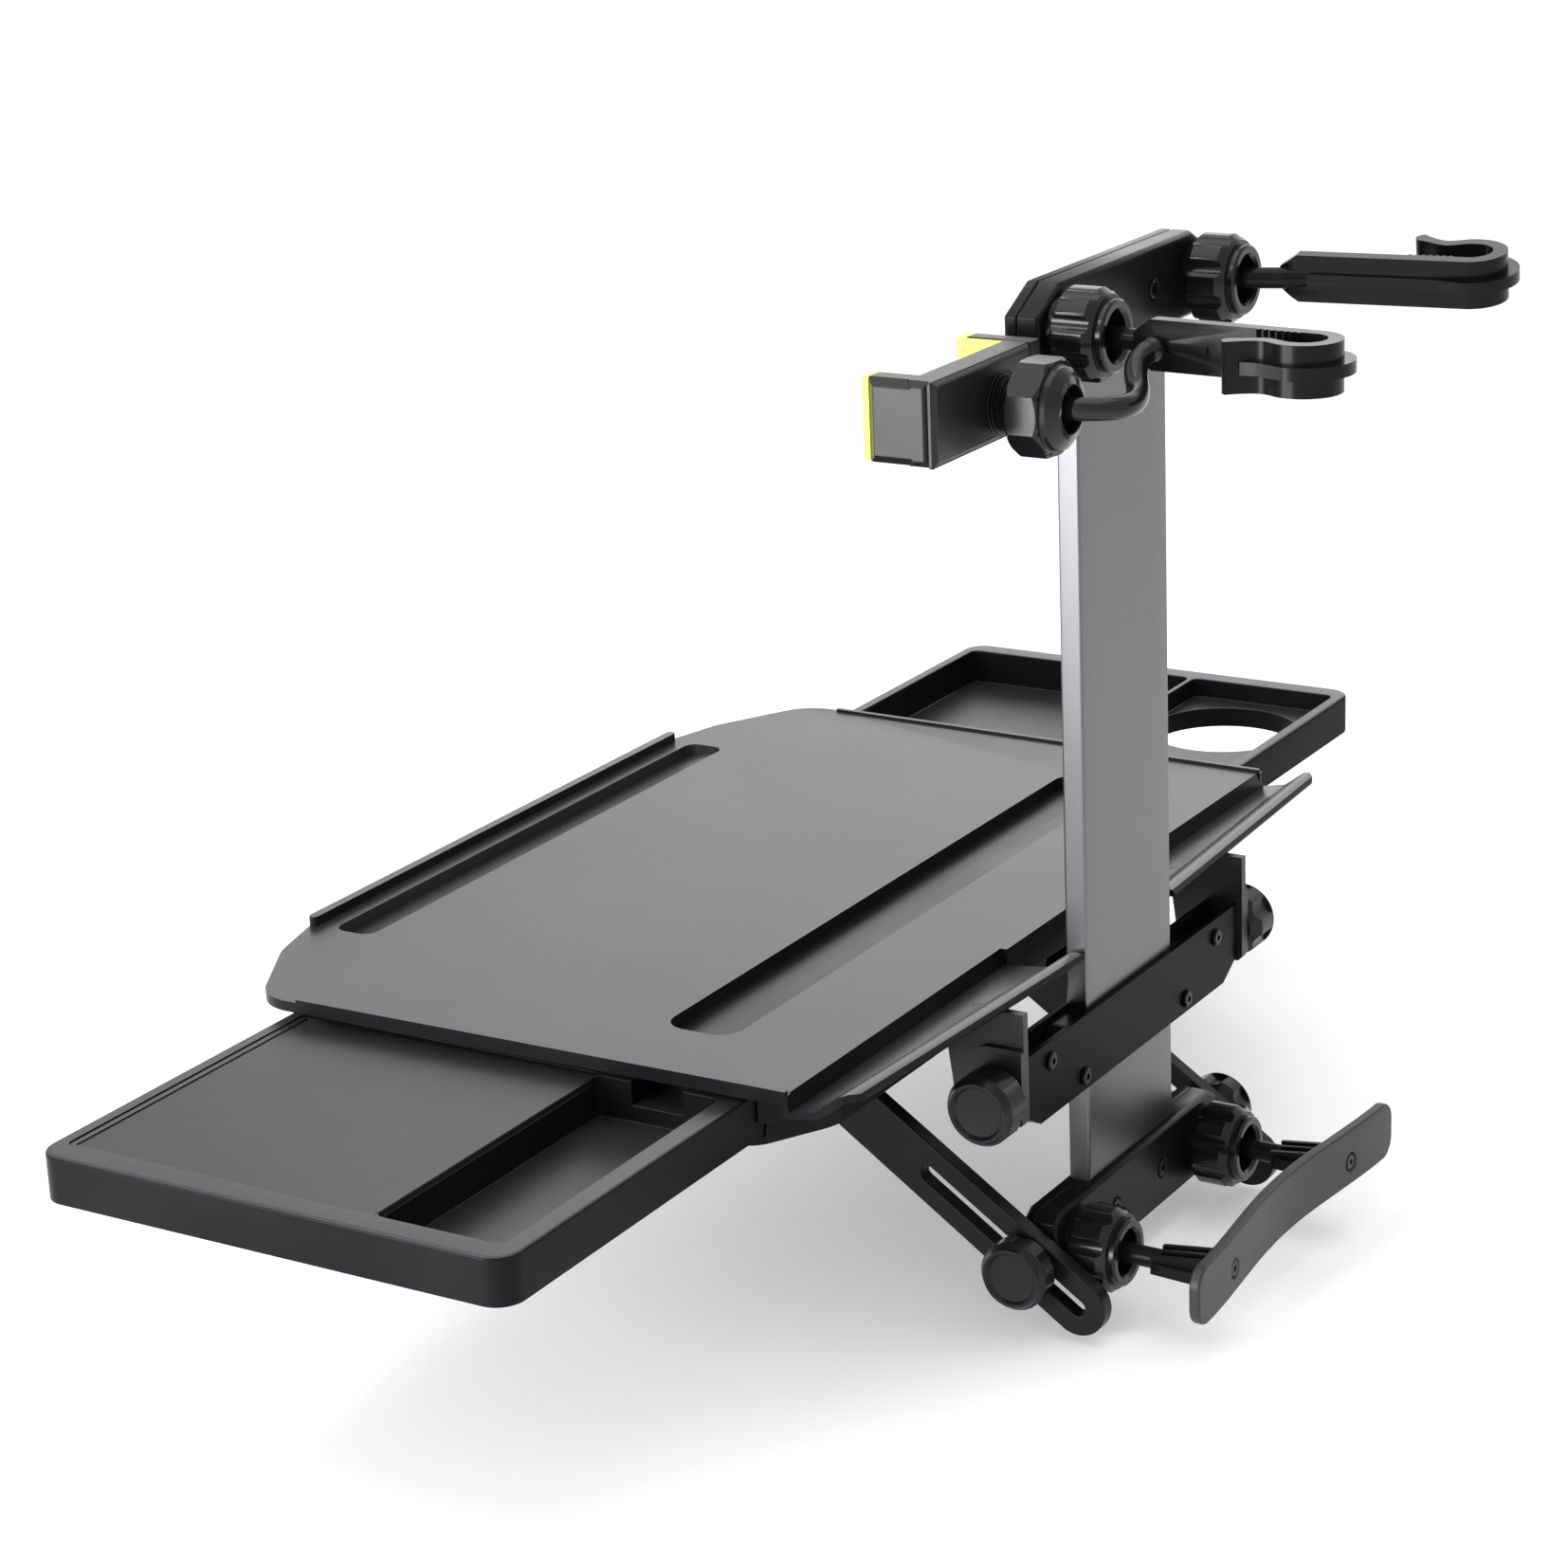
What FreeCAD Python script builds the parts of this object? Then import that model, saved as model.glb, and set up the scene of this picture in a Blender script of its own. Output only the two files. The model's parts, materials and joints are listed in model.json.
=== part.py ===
"""Car laptop tray that hangs from the two headrest rods of a front seat.

An aluminium post stands between two clamp bars. The top bar carries two ball-jointed hooks and a
phone holder, the bottom bar a padded seat-back rest and two slotted struts, and a channel on the post
carries the folding tray with a drawer at each side.

Working axes: X across the seat (the near, mouse-drawer side is positive), Y forward to the front seat,
Z up. The model is laid out from the post's centre line at the top face of the bottom bar, and is
written about its reference point, midway between the two headrest rods at the hooks' mid height.
All sizes are in millimetres.
"""
import FreeCAD, Part
import math
import os

from FreeCAD import Vector

# Post and the two clamp bars
POST_WIDTH = 80.0
POST_DEPTH = 10.0
POST_WALL = 1.6
POST_CORNER = 1.2
POST_FREE_LENGTH = 353.6
POST_INSET = 28.0
POST_CLEARANCE = 0.15
BAR_HEIGHT = 35.6
BAR_LENGTH = 156.8
BAR_REAR_DEPTH = 6.0
BAR_FRONT_DEPTH = 10.0
BAR_SEAM_Y = -1.5
BAR_CHAMFER_LONG = 19.4
BAR_CHAMFER_RISE = 10.3
BAR_CHAMFER_SHORT = 6.5
BAR_CHAMFER_SHORT_RISE = 4.0
BAR_EDGE_BEVEL = 1.4
BAR_SCREW_X = 22.4

# Machine screws
SCREW_RADIUS = 2.0
SCREW_HEAD_RADIUS = 3.6
SCREW_HEAD_HEIGHT = 2.2
SCREW_CLEARANCE = 0.06
SCREW_SINK = 0.6

# Ball joints on the bars
BALL_X = 60.0
BALL_STANDOFF = 11.5
BALL_RADIUS = 8.0
BALL_CLEARANCE = 0.1
COLLET_RADIUS = 12.5
COLLET_LENGTH = 17.0
COLLET_SLIT = 1.6
COLLET_SPIGOT = 3.0
THREAD_CLEARANCE = 0.08
NUT_RADIUS = 18.6
NUT_LENGTH = 21.0
NUT_STANDOFF = 3.6
NUT_LOBES = 8
NUT_FLUTE_RADIUS = 5.0
NUT_RING_RADIUS = 14.5
NUT_RING_LENGTH = 3.4
NUT_MOUTH_RADIUS = 10.0
STEM_RADIUS = 4.4

# Headrest hooks
HOOK_HEIGHT = 20.0
HOOK_PLATE = 6.0
HOOK_PLATE_START = 25.0
HOOK_REACH = 102.0
HOOK_OFFSET = 6.0
HOOK_GAP = 17.0
HOOK_LIP_LENGTH = 27.0
HOOK_RIB_HEIGHT = 5.0
HOOK_RIB_PROUD = 4.5
HOOK_SPINE_PROUD = 1.6
HOOK_TEETH = 7
HOOK_TEETH_START = 5.2
HOOK_TOOTH_PITCH = 2.8
HOOK_TOOTH_DEPTH = 1.3
HOOK_YAW_NEAR = 2.5
HOOK_YAW_FAR = 7.0
HOOK_ROLL_FAR = 8.0

# Carriage on the post
CARRIAGE_LENGTH = 204.6
CARRIAGE_BOTTOM = 45.7
CARRIAGE_HEIGHT = 33.1
CARRIAGE_DEPTH = 15.3
CARRIAGE_WALL = 2.4
CARRIAGE_CHAMFER = 16.0
CARRIAGE_SCREW_OUTER = (79.4, 24.9)
CARRIAGE_SCREW_INNER = (48.9, 6.6)
GUIDE_HEIGHT = 25.0
GUIDE_ROUND = 7.0

# Tilt axis, ears and knobs
TILT_Z = 64.5
EAR_THICKNESS = 4.0
EAR_GAP = 0.3
EAR_REAR_Y = -22.0
EAR_FRONT_Y = 10.0
EAR_BOTTOM_Z = 51.5
EAR_FLANGE = 22.0
EAR_FLANGE_THICKNESS = 2.6
BOSS_THICKNESS = 2.4
KNOB_RADIUS = 15.0
KNOB_LENGTH = 20.0
KNOB_CAP_RADIUS = 11.5
KNOB_DISH_DEPTH = 1.6
KNOB_LOBES = 6
KNOB_FLUTE_RADIUS = 9.0
STUD_RADIUS = 3.0

# Tray
TRAY_TOP_Z = 100.6
SEAT_GAP = 0.1
BASE_SCREW_LENGTH = 27.0
TRAY_HALF_WIDTH = 219.0
TRAY_CORNER_HALF_WIDTH = 223.0
TRAY_PANEL_REAR = -34.0
TRAY_USER_EDGE = -321.0
TRAY_CORNER_Y = -286.0
TRAY_RAIL_HALF = 146.0
TRAY_SKIN = 2.4
TRAY_SKIRT = 4.6
TRAY_SKIRT_WALL = 2.6
RECESS_DEPTH = 4.6
RECESS_SKIN = 1.7
REAR_RECESS = (178.0, -117.0, -84.0)
USER_SLOT = (145.0, -308.0, -288.0)
RAIL_HEIGHT = 4.2
RAIL_WIDTH = 4.5
RIM_HEIGHT = 1.3
RIM_WIDTH = 2.4
TROUGH_DEPTH = 7.2
LIP_RISE = 4.0
LIP_Y_AT_POST = 6.0
LIP_Y_AT_END = -3.0
NOTCH_HALF_WIDTH = 43.0
NOTCH_Y = -31.0

# Tray base with the drawer bays
BASE_BOTTOM_Z = 69.6
BASE_FLOOR = 3.9
BASE_HALF_WIDTH = 211.0
BASE_REAR_Y = -35.0
BASE_USER_MARGIN = 30.7
BASE_SCREW_X = 148.0
BASE_POCKET_START = 6.0
BASE_RIB_X = 76.0
BASE_RIB_HALF = 2.0
BASE_STEP_Z = 80.5
BASE_STEP = 3.0

# Drawers
DRAWER_REAR_Y = -54.5
DRAWER_WIDTH = 219.8
DRAWER_TOP_Z = 93.6
DRAWER_HEIGHT = 19.8
DRAWER_FLOOR = 2.6
DRAWER_OUTER_X = 378.0
DRAWER_INNER_X = 180.0
DRAWER_CORNER = 11.0
DRAWER_RIM_OUTER = 12.0
DRAWER_RIM_SIDE = 6.0
DRAWER_RIM_REAR = 9.5
DRAWER_CLEARANCE = 0.4
PEN_WIDTH = 57.0
BOARD_THICKNESS = 2.6
BOARD_SINK = 0.5
BOARD_GROOVE = 1.2
CUP_RADIUS = 36.5
CUP_X = 320.0
CUP_Y = -100.0
CUP_WALL = 4.5

# Struts
STRUT_PIVOT_Y = -110.3
STRUT_PIVOT_Z = 56.0
STRUT_BOLT_Z = -19.0
STRUT_INNER_X = 80.6
STRUT_THICKNESS = 7.6
STRUT_WIDTH = 25.0
STRUT_SLOT_WIDTH = 7.0
STRUT_SLOT_START = 73.6
STRUT_SLOT_END = 164.2
LUG_THICKNESS = 3.2
PIN_RADIUS = 2.5
PIN_CLEARANCE = 0.05
STRUT_KNOB_LENGTH = 16.0
STRUT_WAIST_RADIUS = 2.0

# Seat-back pad
PAD_HALF_LENGTH = 100.0
PAD_HEIGHT = 26.0
PAD_THICKNESS = 5.0
PAD_Y_CENTRE = 77.0
PAD_Y_END = 84.0
PAD_TOP_Z = -0.5
PAD_ARM_PLATE_START = 45.0
PAD_SCREW_LENGTH = 12.0

# Phone holder
PHONE_FAR_X = 100.5
PHONE_NEAR_X = 178.0
PHONE_REAR_Y = 5.0
PHONE_FRONT_Y = 17.0
PHONE_BOTTOM_Z = 342.0
PHONE_HEIGHT = 32.5
PHONE_COVER = 2.5
JAW_DEPTH = 17.0
JAW_THICKNESS = 11.0
JAW_BEVEL = 3.2
LINER_THICKNESS = 2.4
LINER_FOLD = 3.0
PHONE_NUT_X = 125.0
PHONE_NUT_Z = 356.0
PHONE_COLLET_RADIUS = 10.5
PHONE_NUT_RADIUS = 19.5
PHONE_NUT_SIDES = 8
PHONE_ARM_RADIUS = 4.5
SPRING_RADIUS = 2.6
SPRING_WIRE = 0.6
SPRING_TURNS = 9
SPRING_START_X = 118.0

BIG = 900.0
NEAR = 1
FAR = -1

BAR_REAR_Y = BAR_SEAM_Y - BAR_REAR_DEPTH
BAR_FRONT_Y = BAR_SEAM_Y + BAR_FRONT_DEPTH
TOP_BAR_Z = POST_FREE_LENGTH
TOP_BAR_MID_Z = TOP_BAR_Z + BAR_HEIGHT / 2
BOTTOM_BAR_MID_Z = -BAR_HEIGHT / 2
BALL_Y = BAR_FRONT_Y + BALL_STANDOFF
HOOK_Z = TOP_BAR_MID_Z - 1.4
PAD_ARM_Z = BOTTOM_BAR_MID_Z - 1.0
BEND_RADIUS = HOOK_GAP / 2
ROD_Y = BALL_Y + HOOK_REACH
REFERENCE = Vector(0, ROD_Y, HOOK_Z)
EAR_INNER_X = CARRIAGE_LENGTH / 2 + EAR_GAP
EAR_OUTER_X = EAR_INNER_X + EAR_THICKNESS
BOSS_X = EAR_OUTER_X + BOSS_THICKNESS
DRAWER_BOTTOM_Z = DRAWER_TOP_Z - DRAWER_HEIGHT
DRAWER_USER_Y = DRAWER_REAR_Y - DRAWER_WIDTH
BASE_USER_Y = DRAWER_USER_Y - BASE_USER_MARGIN
STRUT_ANGLE = math.degrees(math.atan2(STRUT_PIVOT_Z - STRUT_BOLT_Z, -STRUT_PIVOT_Y))

NODES = {}


def box(x_range, y_range, z_range):
    """A block between two corners, each axis given as a pair."""
    (x0, x1), (y0, y1), (z0, z1) = x_range, y_range, z_range
    return Part.makeBox(x1 - x0, y1 - y0, z1 - z0, Vector(x0, y0, z0))


def rod(radius, start, end):
    """A round bar between two points."""
    along = Vector(*end) - Vector(*start)
    return Part.makeCylinder(radius, along.Length, Vector(*start), along)


def polygon(points):
    """A closed wire through the points."""
    corners = [Vector(*point) for point in points]
    return Part.makePolygon(corners + corners[:1])


def prism(points, along):
    """The flat outline through the points, pushed along a vector."""
    return Part.Face(polygon(points)).extrude(Vector(*along))


def mirrored(shape):
    """The same shape on the other side of the post."""
    return shape.mirror(Vector(0, 0, 0), Vector(1, 0, 0))


def on_side(shape, side):
    """The near-side shape itself, or its mirror image for the far side."""
    return shape if side == NEAR else mirrored(shape)


def fuse(shapes):
    """One clean solid from several that meet."""
    joined = shapes[0].fuse(shapes[1:]) if len(shapes) > 1 else shapes[0]
    return joined.removeSplitter()


def rounded_outline(points, radii):
    """A closed wire whose corners are rounded, each with its own radius."""
    count = len(points)
    corners = [Vector(*point) for point in points]
    edges = []
    ends = []
    for i in range(count):
        before = (corners[i - 1] - corners[i]).normalize()
        after = (corners[(i + 1) % count] - corners[i]).normalize()
        half = before.getAngle(after) / 2
        reach = radii[i] / math.tan(half) if radii[i] else 0.0
        start = corners[i] + before * reach
        end = corners[i] + after * reach
        if radii[i]:
            inward = (before + after).normalize()
            centre = corners[i] + inward * (radii[i] / math.sin(half))
            middle = centre - inward * radii[i]
            edges.append((i, Part.Arc(start, middle, end).toShape()))
        ends.append((start, end))
    ordered = []
    arcs = dict(edges)
    for i in range(count):
        if i in arcs:
            ordered.append(arcs[i])
        start = ends[i][1]
        end = ends[(i + 1) % count][0]
        if (end - start).Length > 1e-4:
            ordered.append(Part.LineSegment(start, end).toShape())
    return Part.Wire(ordered)


def rounded_prism(points, radii, along):
    """A prism over an outline with rounded corners."""
    return Part.Face(rounded_outline(points, radii)).extrude(Vector(*along))


def rounded_block(x_range, y_range, z_range, radius):
    """A block with its upright edges rounded."""
    (x0, x1), (y0, y1), (z0, z1) = x_range, y_range, z_range
    corners = [(x0, y0, z0), (x1, y0, z0), (x1, y1, z0), (x0, y1, z0)]
    return rounded_prism(corners, [radius] * 4, (0, 0, z1 - z0))


def revolved(profile, origin, axis):
    """A turned solid: the profile lists (distance along the axis, radius) from the origin."""
    axis = Vector(*axis).normalize()
    side = axis.cross(Vector(0, 0, 1))
    if side.Length < 0.1:
        side = Vector(1, 0, 0)
    side.normalize()
    start = Vector(*origin)
    points = [start + axis * along + side * radius for along, radius in profile]
    wire = Part.makePolygon(points + points[:1])
    return Part.Face(wire).revolve(start, axis, 360)


def lobed(solid, count, cut_radius, pitch_radius, origin, axis, length, phase=0.0):
    """The solid with round flutes cut along its side, evenly spaced about the axis."""
    axis = Vector(*axis).normalize()
    side = axis.cross(Vector(0, 0, 1))
    if side.Length < 0.1:
        side = Vector(1, 0, 0)
    side.normalize()
    start = Vector(*origin)
    cutters = []
    for i in range(count):
        turn = FreeCAD.Rotation(axis, phase + 360.0 * i / count)
        centre = start + turn.multVec(side) * pitch_radius
        cutters.append(Part.makeCylinder(cut_radius, length, centre, axis))
    return solid.cut(cutters)


def machine_screw(point, along, length):
    """A pan-head screw: the head's underside is at the point, the shank runs along the axis."""
    axis = Vector(*along).normalize()
    base = Vector(*point)
    shank = Part.makeCylinder(SCREW_RADIUS, length, base, axis)
    head = Part.makeCylinder(SCREW_HEAD_RADIUS, SCREW_HEAD_HEIGHT, base - axis * SCREW_HEAD_HEIGHT, axis)
    rim = [edge for edge in head.Edges if abs((edge.CenterOfMass - base).Length - SCREW_HEAD_HEIGHT) < 0.01]
    head = head.makeFillet(0.7, rim)
    recess = Part.makeCylinder(1.3, 1.2, base - axis * SCREW_HEAD_HEIGHT, axis)
    return fuse([shank, head]).cut(recess)


def screw_hole(point, along, length):
    """The clearance hole for a machine screw, with its head's seat above the point."""
    axis = Vector(*along).normalize()
    base = Vector(*point)
    shank = Part.makeCylinder(SCREW_RADIUS + SCREW_CLEARANCE, length, base, axis)
    seat = Part.makeCylinder(SCREW_HEAD_RADIUS + 0.5, BIG / 30, base - axis * (BIG / 30), axis)
    return shank.fuse(seat)


def bar_screw_points(mid_z):
    """Where the two screws of a clamp bar bear, on the front shell."""
    y = BAR_FRONT_Y - SCREW_SINK - SCREW_HEAD_HEIGHT / 2
    return [(side * BAR_SCREW_X, y, mid_z) for side in (NEAR, FAR)]


def bar_screw_length():
    """Screws reach from the front shell through the post into the rear shell."""
    return BAR_FRONT_Y - SCREW_SINK - SCREW_HEAD_HEIGHT / 2 - BAR_REAR_Y - 1.2


def make_post():
    """Hollow aluminium section with two inner webs, reaching into both bars."""
    half_width = POST_WIDTH / 2
    half_depth = POST_DEPTH / 2
    length = POST_FREE_LENGTH + 2 * POST_INSET
    outer = rounded_block((-half_width, half_width), (-half_depth, half_depth), (0, length), POST_CORNER)
    inner_x = half_width - POST_WALL
    inner_y = half_depth - POST_WALL
    web = 1.2
    third = inner_x / 3
    for start, end in ((-inner_x, -third - web), (-third + web, third - web), (third + web, inner_x)):
        outer = outer.cut(box((start, end), (-inner_y, inner_y), (-1, length + 1)))
    outer.translate(Vector(0, 0, -POST_INSET))
    for mid_z in (TOP_BAR_MID_Z, BOTTOM_BAR_MID_Z):
        for x, _, z in bar_screw_points(mid_z):
            reach = rod(SCREW_RADIUS + SCREW_CLEARANCE, (x, -POST_DEPTH, z), (x, POST_DEPTH, z))
            outer = outer.cut(reach)
    return outer


def bar_outline(y, upward):
    """End-on outline of a clamp bar, long chamfers on its outer side."""
    half = BAR_LENGTH / 2
    outer = BAR_HEIGHT / 2 * upward
    inner = -outer
    return [
        (-half + BAR_CHAMFER_LONG, y, outer),
        (half - BAR_CHAMFER_LONG, y, outer),
        (half, y, outer - BAR_CHAMFER_RISE * upward),
        (half, y, inner + BAR_CHAMFER_SHORT_RISE * upward),
        (half - BAR_CHAMFER_SHORT, y, inner),
        (-half + BAR_CHAMFER_SHORT, y, inner),
        (-half, y, inner + BAR_CHAMFER_SHORT_RISE * upward),
        (-half, y, outer - BAR_CHAMFER_RISE * upward),
    ]


def bar_shell(start_y, depth, mid_z, upward, bevelled_y):
    """One moulded shell of a clamp bar, pocketed for the post's end."""
    shell = prism(bar_outline(start_y, upward), (0, depth, 0))
    rim = [edge for edge in shell.Edges if abs(edge.CenterOfMass.y - bevelled_y) < 0.01]
    rim = [edge for edge in rim if edge.BoundBox.YLength < 0.01]
    shell = shell.makeChamfer(BAR_EDGE_BEVEL, rim)
    shell.translate(Vector(0, 0, mid_z))
    fit = POST_CLEARANCE
    half_width = POST_WIDTH / 2 + fit
    half_depth = POST_DEPTH / 2 + fit
    reach = POST_INSET + fit
    mouth = mid_z - upward * BAR_HEIGHT / 2
    ends = sorted((mouth - upward, mouth + upward * reach))
    shell = shell.cut(box((-half_width, half_width), (-half_depth, half_depth), ends))
    for x, y, z in bar_screw_points(mid_z):
        shell = shell.cut(screw_hole((x, y, z), (0, -1, 0), bar_screw_length() + 0.1))
    return shell


def front_bar_shell(mid_z, upward, joint_z):
    """The front shell also carries the two collets' spigots."""
    shell = bar_shell(BAR_SEAM_Y, BAR_FRONT_DEPTH, mid_z, upward, BAR_FRONT_Y)
    for side in (NEAR, FAR):
        x = side * BALL_X
        spigot = rod(COLLET_RADIUS - 2, (x, BAR_FRONT_Y - COLLET_SPIGOT, joint_z),
                     (x, BAR_FRONT_Y + 1, joint_z))
        shell = shell.cut(spigot)
    if upward < 0:
        for side in (NEAR, FAR):
            end_x = side * BAR_LENGTH / 2
            bore = rod(STUD_RADIUS + PIN_CLEARANCE, (end_x - side * 18, 0, STRUT_BOLT_Z),
                       (end_x + side, 0, STRUT_BOLT_Z))
            shell = shell.cut(bore)
    return shell


def rear_bar_shell(mid_z, upward):
    """The rear cover of a clamp bar."""
    shell = bar_shell(BAR_REAR_Y, BAR_REAR_DEPTH, mid_z, upward, BAR_REAR_Y)
    if upward < 0:
        for side in (NEAR, FAR):
            end_x = side * BAR_LENGTH / 2
            bore = rod(STUD_RADIUS + PIN_CLEARANCE, (end_x - side * 18, 0, STRUT_BOLT_Z),
                       (end_x + side, 0, STRUT_BOLT_Z))
            shell = shell.cut(bore)
    return shell


def make_bar_screws(mid_z):
    """The two screws of a clamp bar."""
    points = bar_screw_points(mid_z)
    return Part.makeCompound([machine_screw(point, (0, -1, 0), bar_screw_length()) for point in points])


def make_collet(x, z):
    """Split threaded collet that holds a ball: spigot, collar, slit fingers and round seat."""
    origin = (x, BAR_FRONT_Y, z)
    profile = [(-COLLET_SPIGOT + 0.1, 0), (-COLLET_SPIGOT + 0.1, COLLET_RADIUS - 2.1),
               (0, COLLET_RADIUS - 2.1)]
    profile += [(0, COLLET_RADIUS + 2), (NUT_STANDOFF - 0.4, COLLET_RADIUS + 2),
                (NUT_STANDOFF - 0.4, COLLET_RADIUS)]
    profile += [(COLLET_LENGTH - 3, COLLET_RADIUS), (COLLET_LENGTH, COLLET_RADIUS - 2), (COLLET_LENGTH, 0)]
    body = revolved(profile, origin, (0, 1, 0))
    seat = Part.makeSphere(BALL_RADIUS + BALL_CLEARANCE, Vector(x, BALL_Y, z))
    mouth = Part.makeCone(BALL_RADIUS * 0.72, BALL_RADIUS * 1.15, COLLET_LENGTH, Vector(x, BALL_Y, z),
                          Vector(0, 1, 0))
    body = body.cut([seat, mouth])
    slits = []
    for turn in (0, 60, 120):
        slit = box((-BIG, BIG), (BAR_FRONT_Y + NUT_STANDOFF + 1, BIG), (-COLLET_SLIT / 2, COLLET_SLIT / 2))
        slit.rotate(Vector(0, 0, 0), Vector(0, 1, 0), turn)
        slit.translate(Vector(x, 0, z))
        slits.append(slit)
    return body.cut(slits)


def make_nut(x, z):
    """Lobed clamp nut: fluted barrel, raised front ring and the mouth that the stem leaves by."""
    start = BAR_FRONT_Y + NUT_STANDOFF
    origin = (x, start, z)
    barrel = NUT_LENGTH - NUT_RING_LENGTH
    profile = [(0, 0), (0, NUT_RADIUS - 1.4), (1.8, NUT_RADIUS), (barrel - 3.5, NUT_RADIUS)]
    profile += [(barrel, NUT_RING_RADIUS + 1.6), (barrel, NUT_RING_RADIUS),
                (NUT_LENGTH - 0.8, NUT_RING_RADIUS)]
    profile += [(NUT_LENGTH, NUT_RING_RADIUS - 0.9), (NUT_LENGTH, 0)]
    body = revolved(profile, origin, (0, 1, 0))
    pitch = NUT_RADIUS + NUT_FLUTE_RADIUS - 1.8
    body = lobed(body, NUT_LOBES, NUT_FLUTE_RADIUS, pitch, origin, (0, 1, 0), barrel - 1.5, 22.5)
    thread = COLLET_RADIUS + THREAD_CLEARANCE
    depth = COLLET_LENGTH - NUT_STANDOFF + 0.2
    hollow = [(-1, 0), (-1, thread), (depth - 3, thread), (depth, thread - 2), (depth, NUT_MOUTH_RADIUS)]
    hollow += [(NUT_LENGTH - 1.5, NUT_MOUTH_RADIUS), (NUT_LENGTH + 1, NUT_MOUTH_RADIUS + 1.8),
               (NUT_LENGTH + 1, 0)]
    return body.cut(revolved(hollow, origin, (0, 1, 0)))


def hook_outline():
    """Plan of the near hook about its ball: straight plate, round bend and waved lip."""
    inner = HOOK_OFFSET + HOOK_PLATE / 2
    outer = HOOK_OFFSET - HOOK_PLATE / 2
    wall = HOOK_PLATE
    lip_in = inner + HOOK_GAP
    reach = HOOK_REACH
    tip = reach - HOOK_LIP_LENGTH
    wave = 3.2
    centre = Vector(inner + BEND_RADIUS, reach, 0)
    out_bend = BEND_RADIUS + wall
    edges = []

    def line(a, b):
        edges.append(Part.LineSegment(Vector(*a), Vector(*b)).toShape())

    start_y = HOOK_PLATE_START
    line((outer, start_y + 4, 0), (outer, reach, 0))
    edges.append(Part.Arc(Vector(outer, reach, 0), centre + Vector(0, out_bend, 0),
                          centre + Vector(out_bend, 0, 0)).toShape())
    outside = Part.BSplineCurve()
    outside.interpolate([
        Vector(lip_in + wall, reach, 0),
        Vector(lip_in + wall - 0.6, reach - 5, 0),
        Vector(lip_in + wall - wave, reach - 12, 0),
        Vector(lip_in + wall, reach - 20, 0),
        Vector(lip_in + wall + 3.5, tip + 3, 0),
    ])
    edges.append(outside.toShape())
    end = Vector(lip_in + wall + 3.5, tip + 3, 0)
    inside_end = Vector(lip_in + 1.5, tip + 3.5, 0)
    edges.append(Part.Arc(end, Vector(lip_in + wall / 2 + 2.8, tip, 0), inside_end).toShape())
    inside = Part.BSplineCurve()
    inside.interpolate([
        inside_end,
        Vector(lip_in - 0.6, reach - 19, 0),
        Vector(lip_in - wave, reach - 12, 0),
        Vector(lip_in - 0.7, reach - 5, 0),
        Vector(lip_in, reach, 0),
    ])
    edges.append(inside.toShape())
    edges.append(Part.Arc(Vector(lip_in, reach, 0), centre + Vector(0, BEND_RADIUS, 0),
                          Vector(inner, reach, 0)).toShape())
    line((inner, reach, 0), (inner, start_y, 0))
    line((inner, start_y, 0), (outer + 1.5, start_y, 0))
    line((outer + 1.5, start_y, 0), (outer, start_y + 4, 0))
    return Part.Wire(edges)


def hook_teeth():
    """Grip teeth on the plate's inner face, just before the bend."""
    inner = HOOK_OFFSET + HOOK_PLATE / 2
    teeth = []
    for i in range(HOOK_TEETH):
        y = HOOK_REACH - HOOK_TEETH_START - i * HOOK_TOOTH_PITCH
        points = [
            (inner - 0.3, y, -HOOK_HEIGHT / 2),
            (inner + HOOK_TOOTH_DEPTH, y - HOOK_TOOTH_PITCH / 2, -HOOK_HEIGHT / 2),
            (inner - 0.3, y - HOOK_TOOTH_PITCH, -HOOK_HEIGHT / 2),
        ]
        teeth.append(prism(points, (0, 0, HOOK_HEIGHT)))
    return teeth


def hook_rib():
    """Stiffening band round the outside of the bend and along the lip, at mid height."""
    inner = HOOK_OFFSET + HOOK_PLATE / 2
    centre = Vector(inner + BEND_RADIUS, HOOK_REACH, 0)
    outer = BEND_RADIUS + HOOK_PLATE + HOOK_RIB_PROUD
    half = HOOK_RIB_HEIGHT / 2
    ring = Part.makeCylinder(outer, HOOK_RIB_HEIGHT, centre - Vector(0, 0, half))
    ring = ring.cut(Part.makeCylinder(BEND_RADIUS + HOOK_PLATE / 2, HOOK_RIB_HEIGHT,
                                      centre - Vector(0, 0, half)))
    ring = ring.common(box((-BIG, BIG), (HOOK_REACH, BIG), (-half, half)))
    lip_x = inner + HOOK_GAP + HOOK_PLATE
    points = [
        (lip_x - 3, HOOK_REACH, -half),
        (lip_x + HOOK_RIB_PROUD, HOOK_REACH, -half),
        (lip_x + 0.8, HOOK_REACH - 12, -half),
        (lip_x + 1.6, HOOK_REACH - 19, -half),
        (lip_x - 3, HOOK_REACH - 19, -half),
    ]
    outer_x = HOOK_OFFSET - HOOK_PLATE / 2
    spine = [
        (outer_x + 1, HOOK_PLATE_START + 8, -half),
        (outer_x + 1, HOOK_REACH, -half),
        (outer_x - HOOK_RIB_PROUD, HOOK_REACH, -half),
        (outer_x - HOOK_SPINE_PROUD, HOOK_REACH - 14, -half),
        (outer_x - HOOK_SPINE_PROUD, HOOK_PLATE_START + 12, -half),
    ]
    return [ring, prism(points, (0, 0, HOOK_RIB_HEIGHT)), prism(spine, (0, 0, HOOK_RIB_HEIGHT))]


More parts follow.
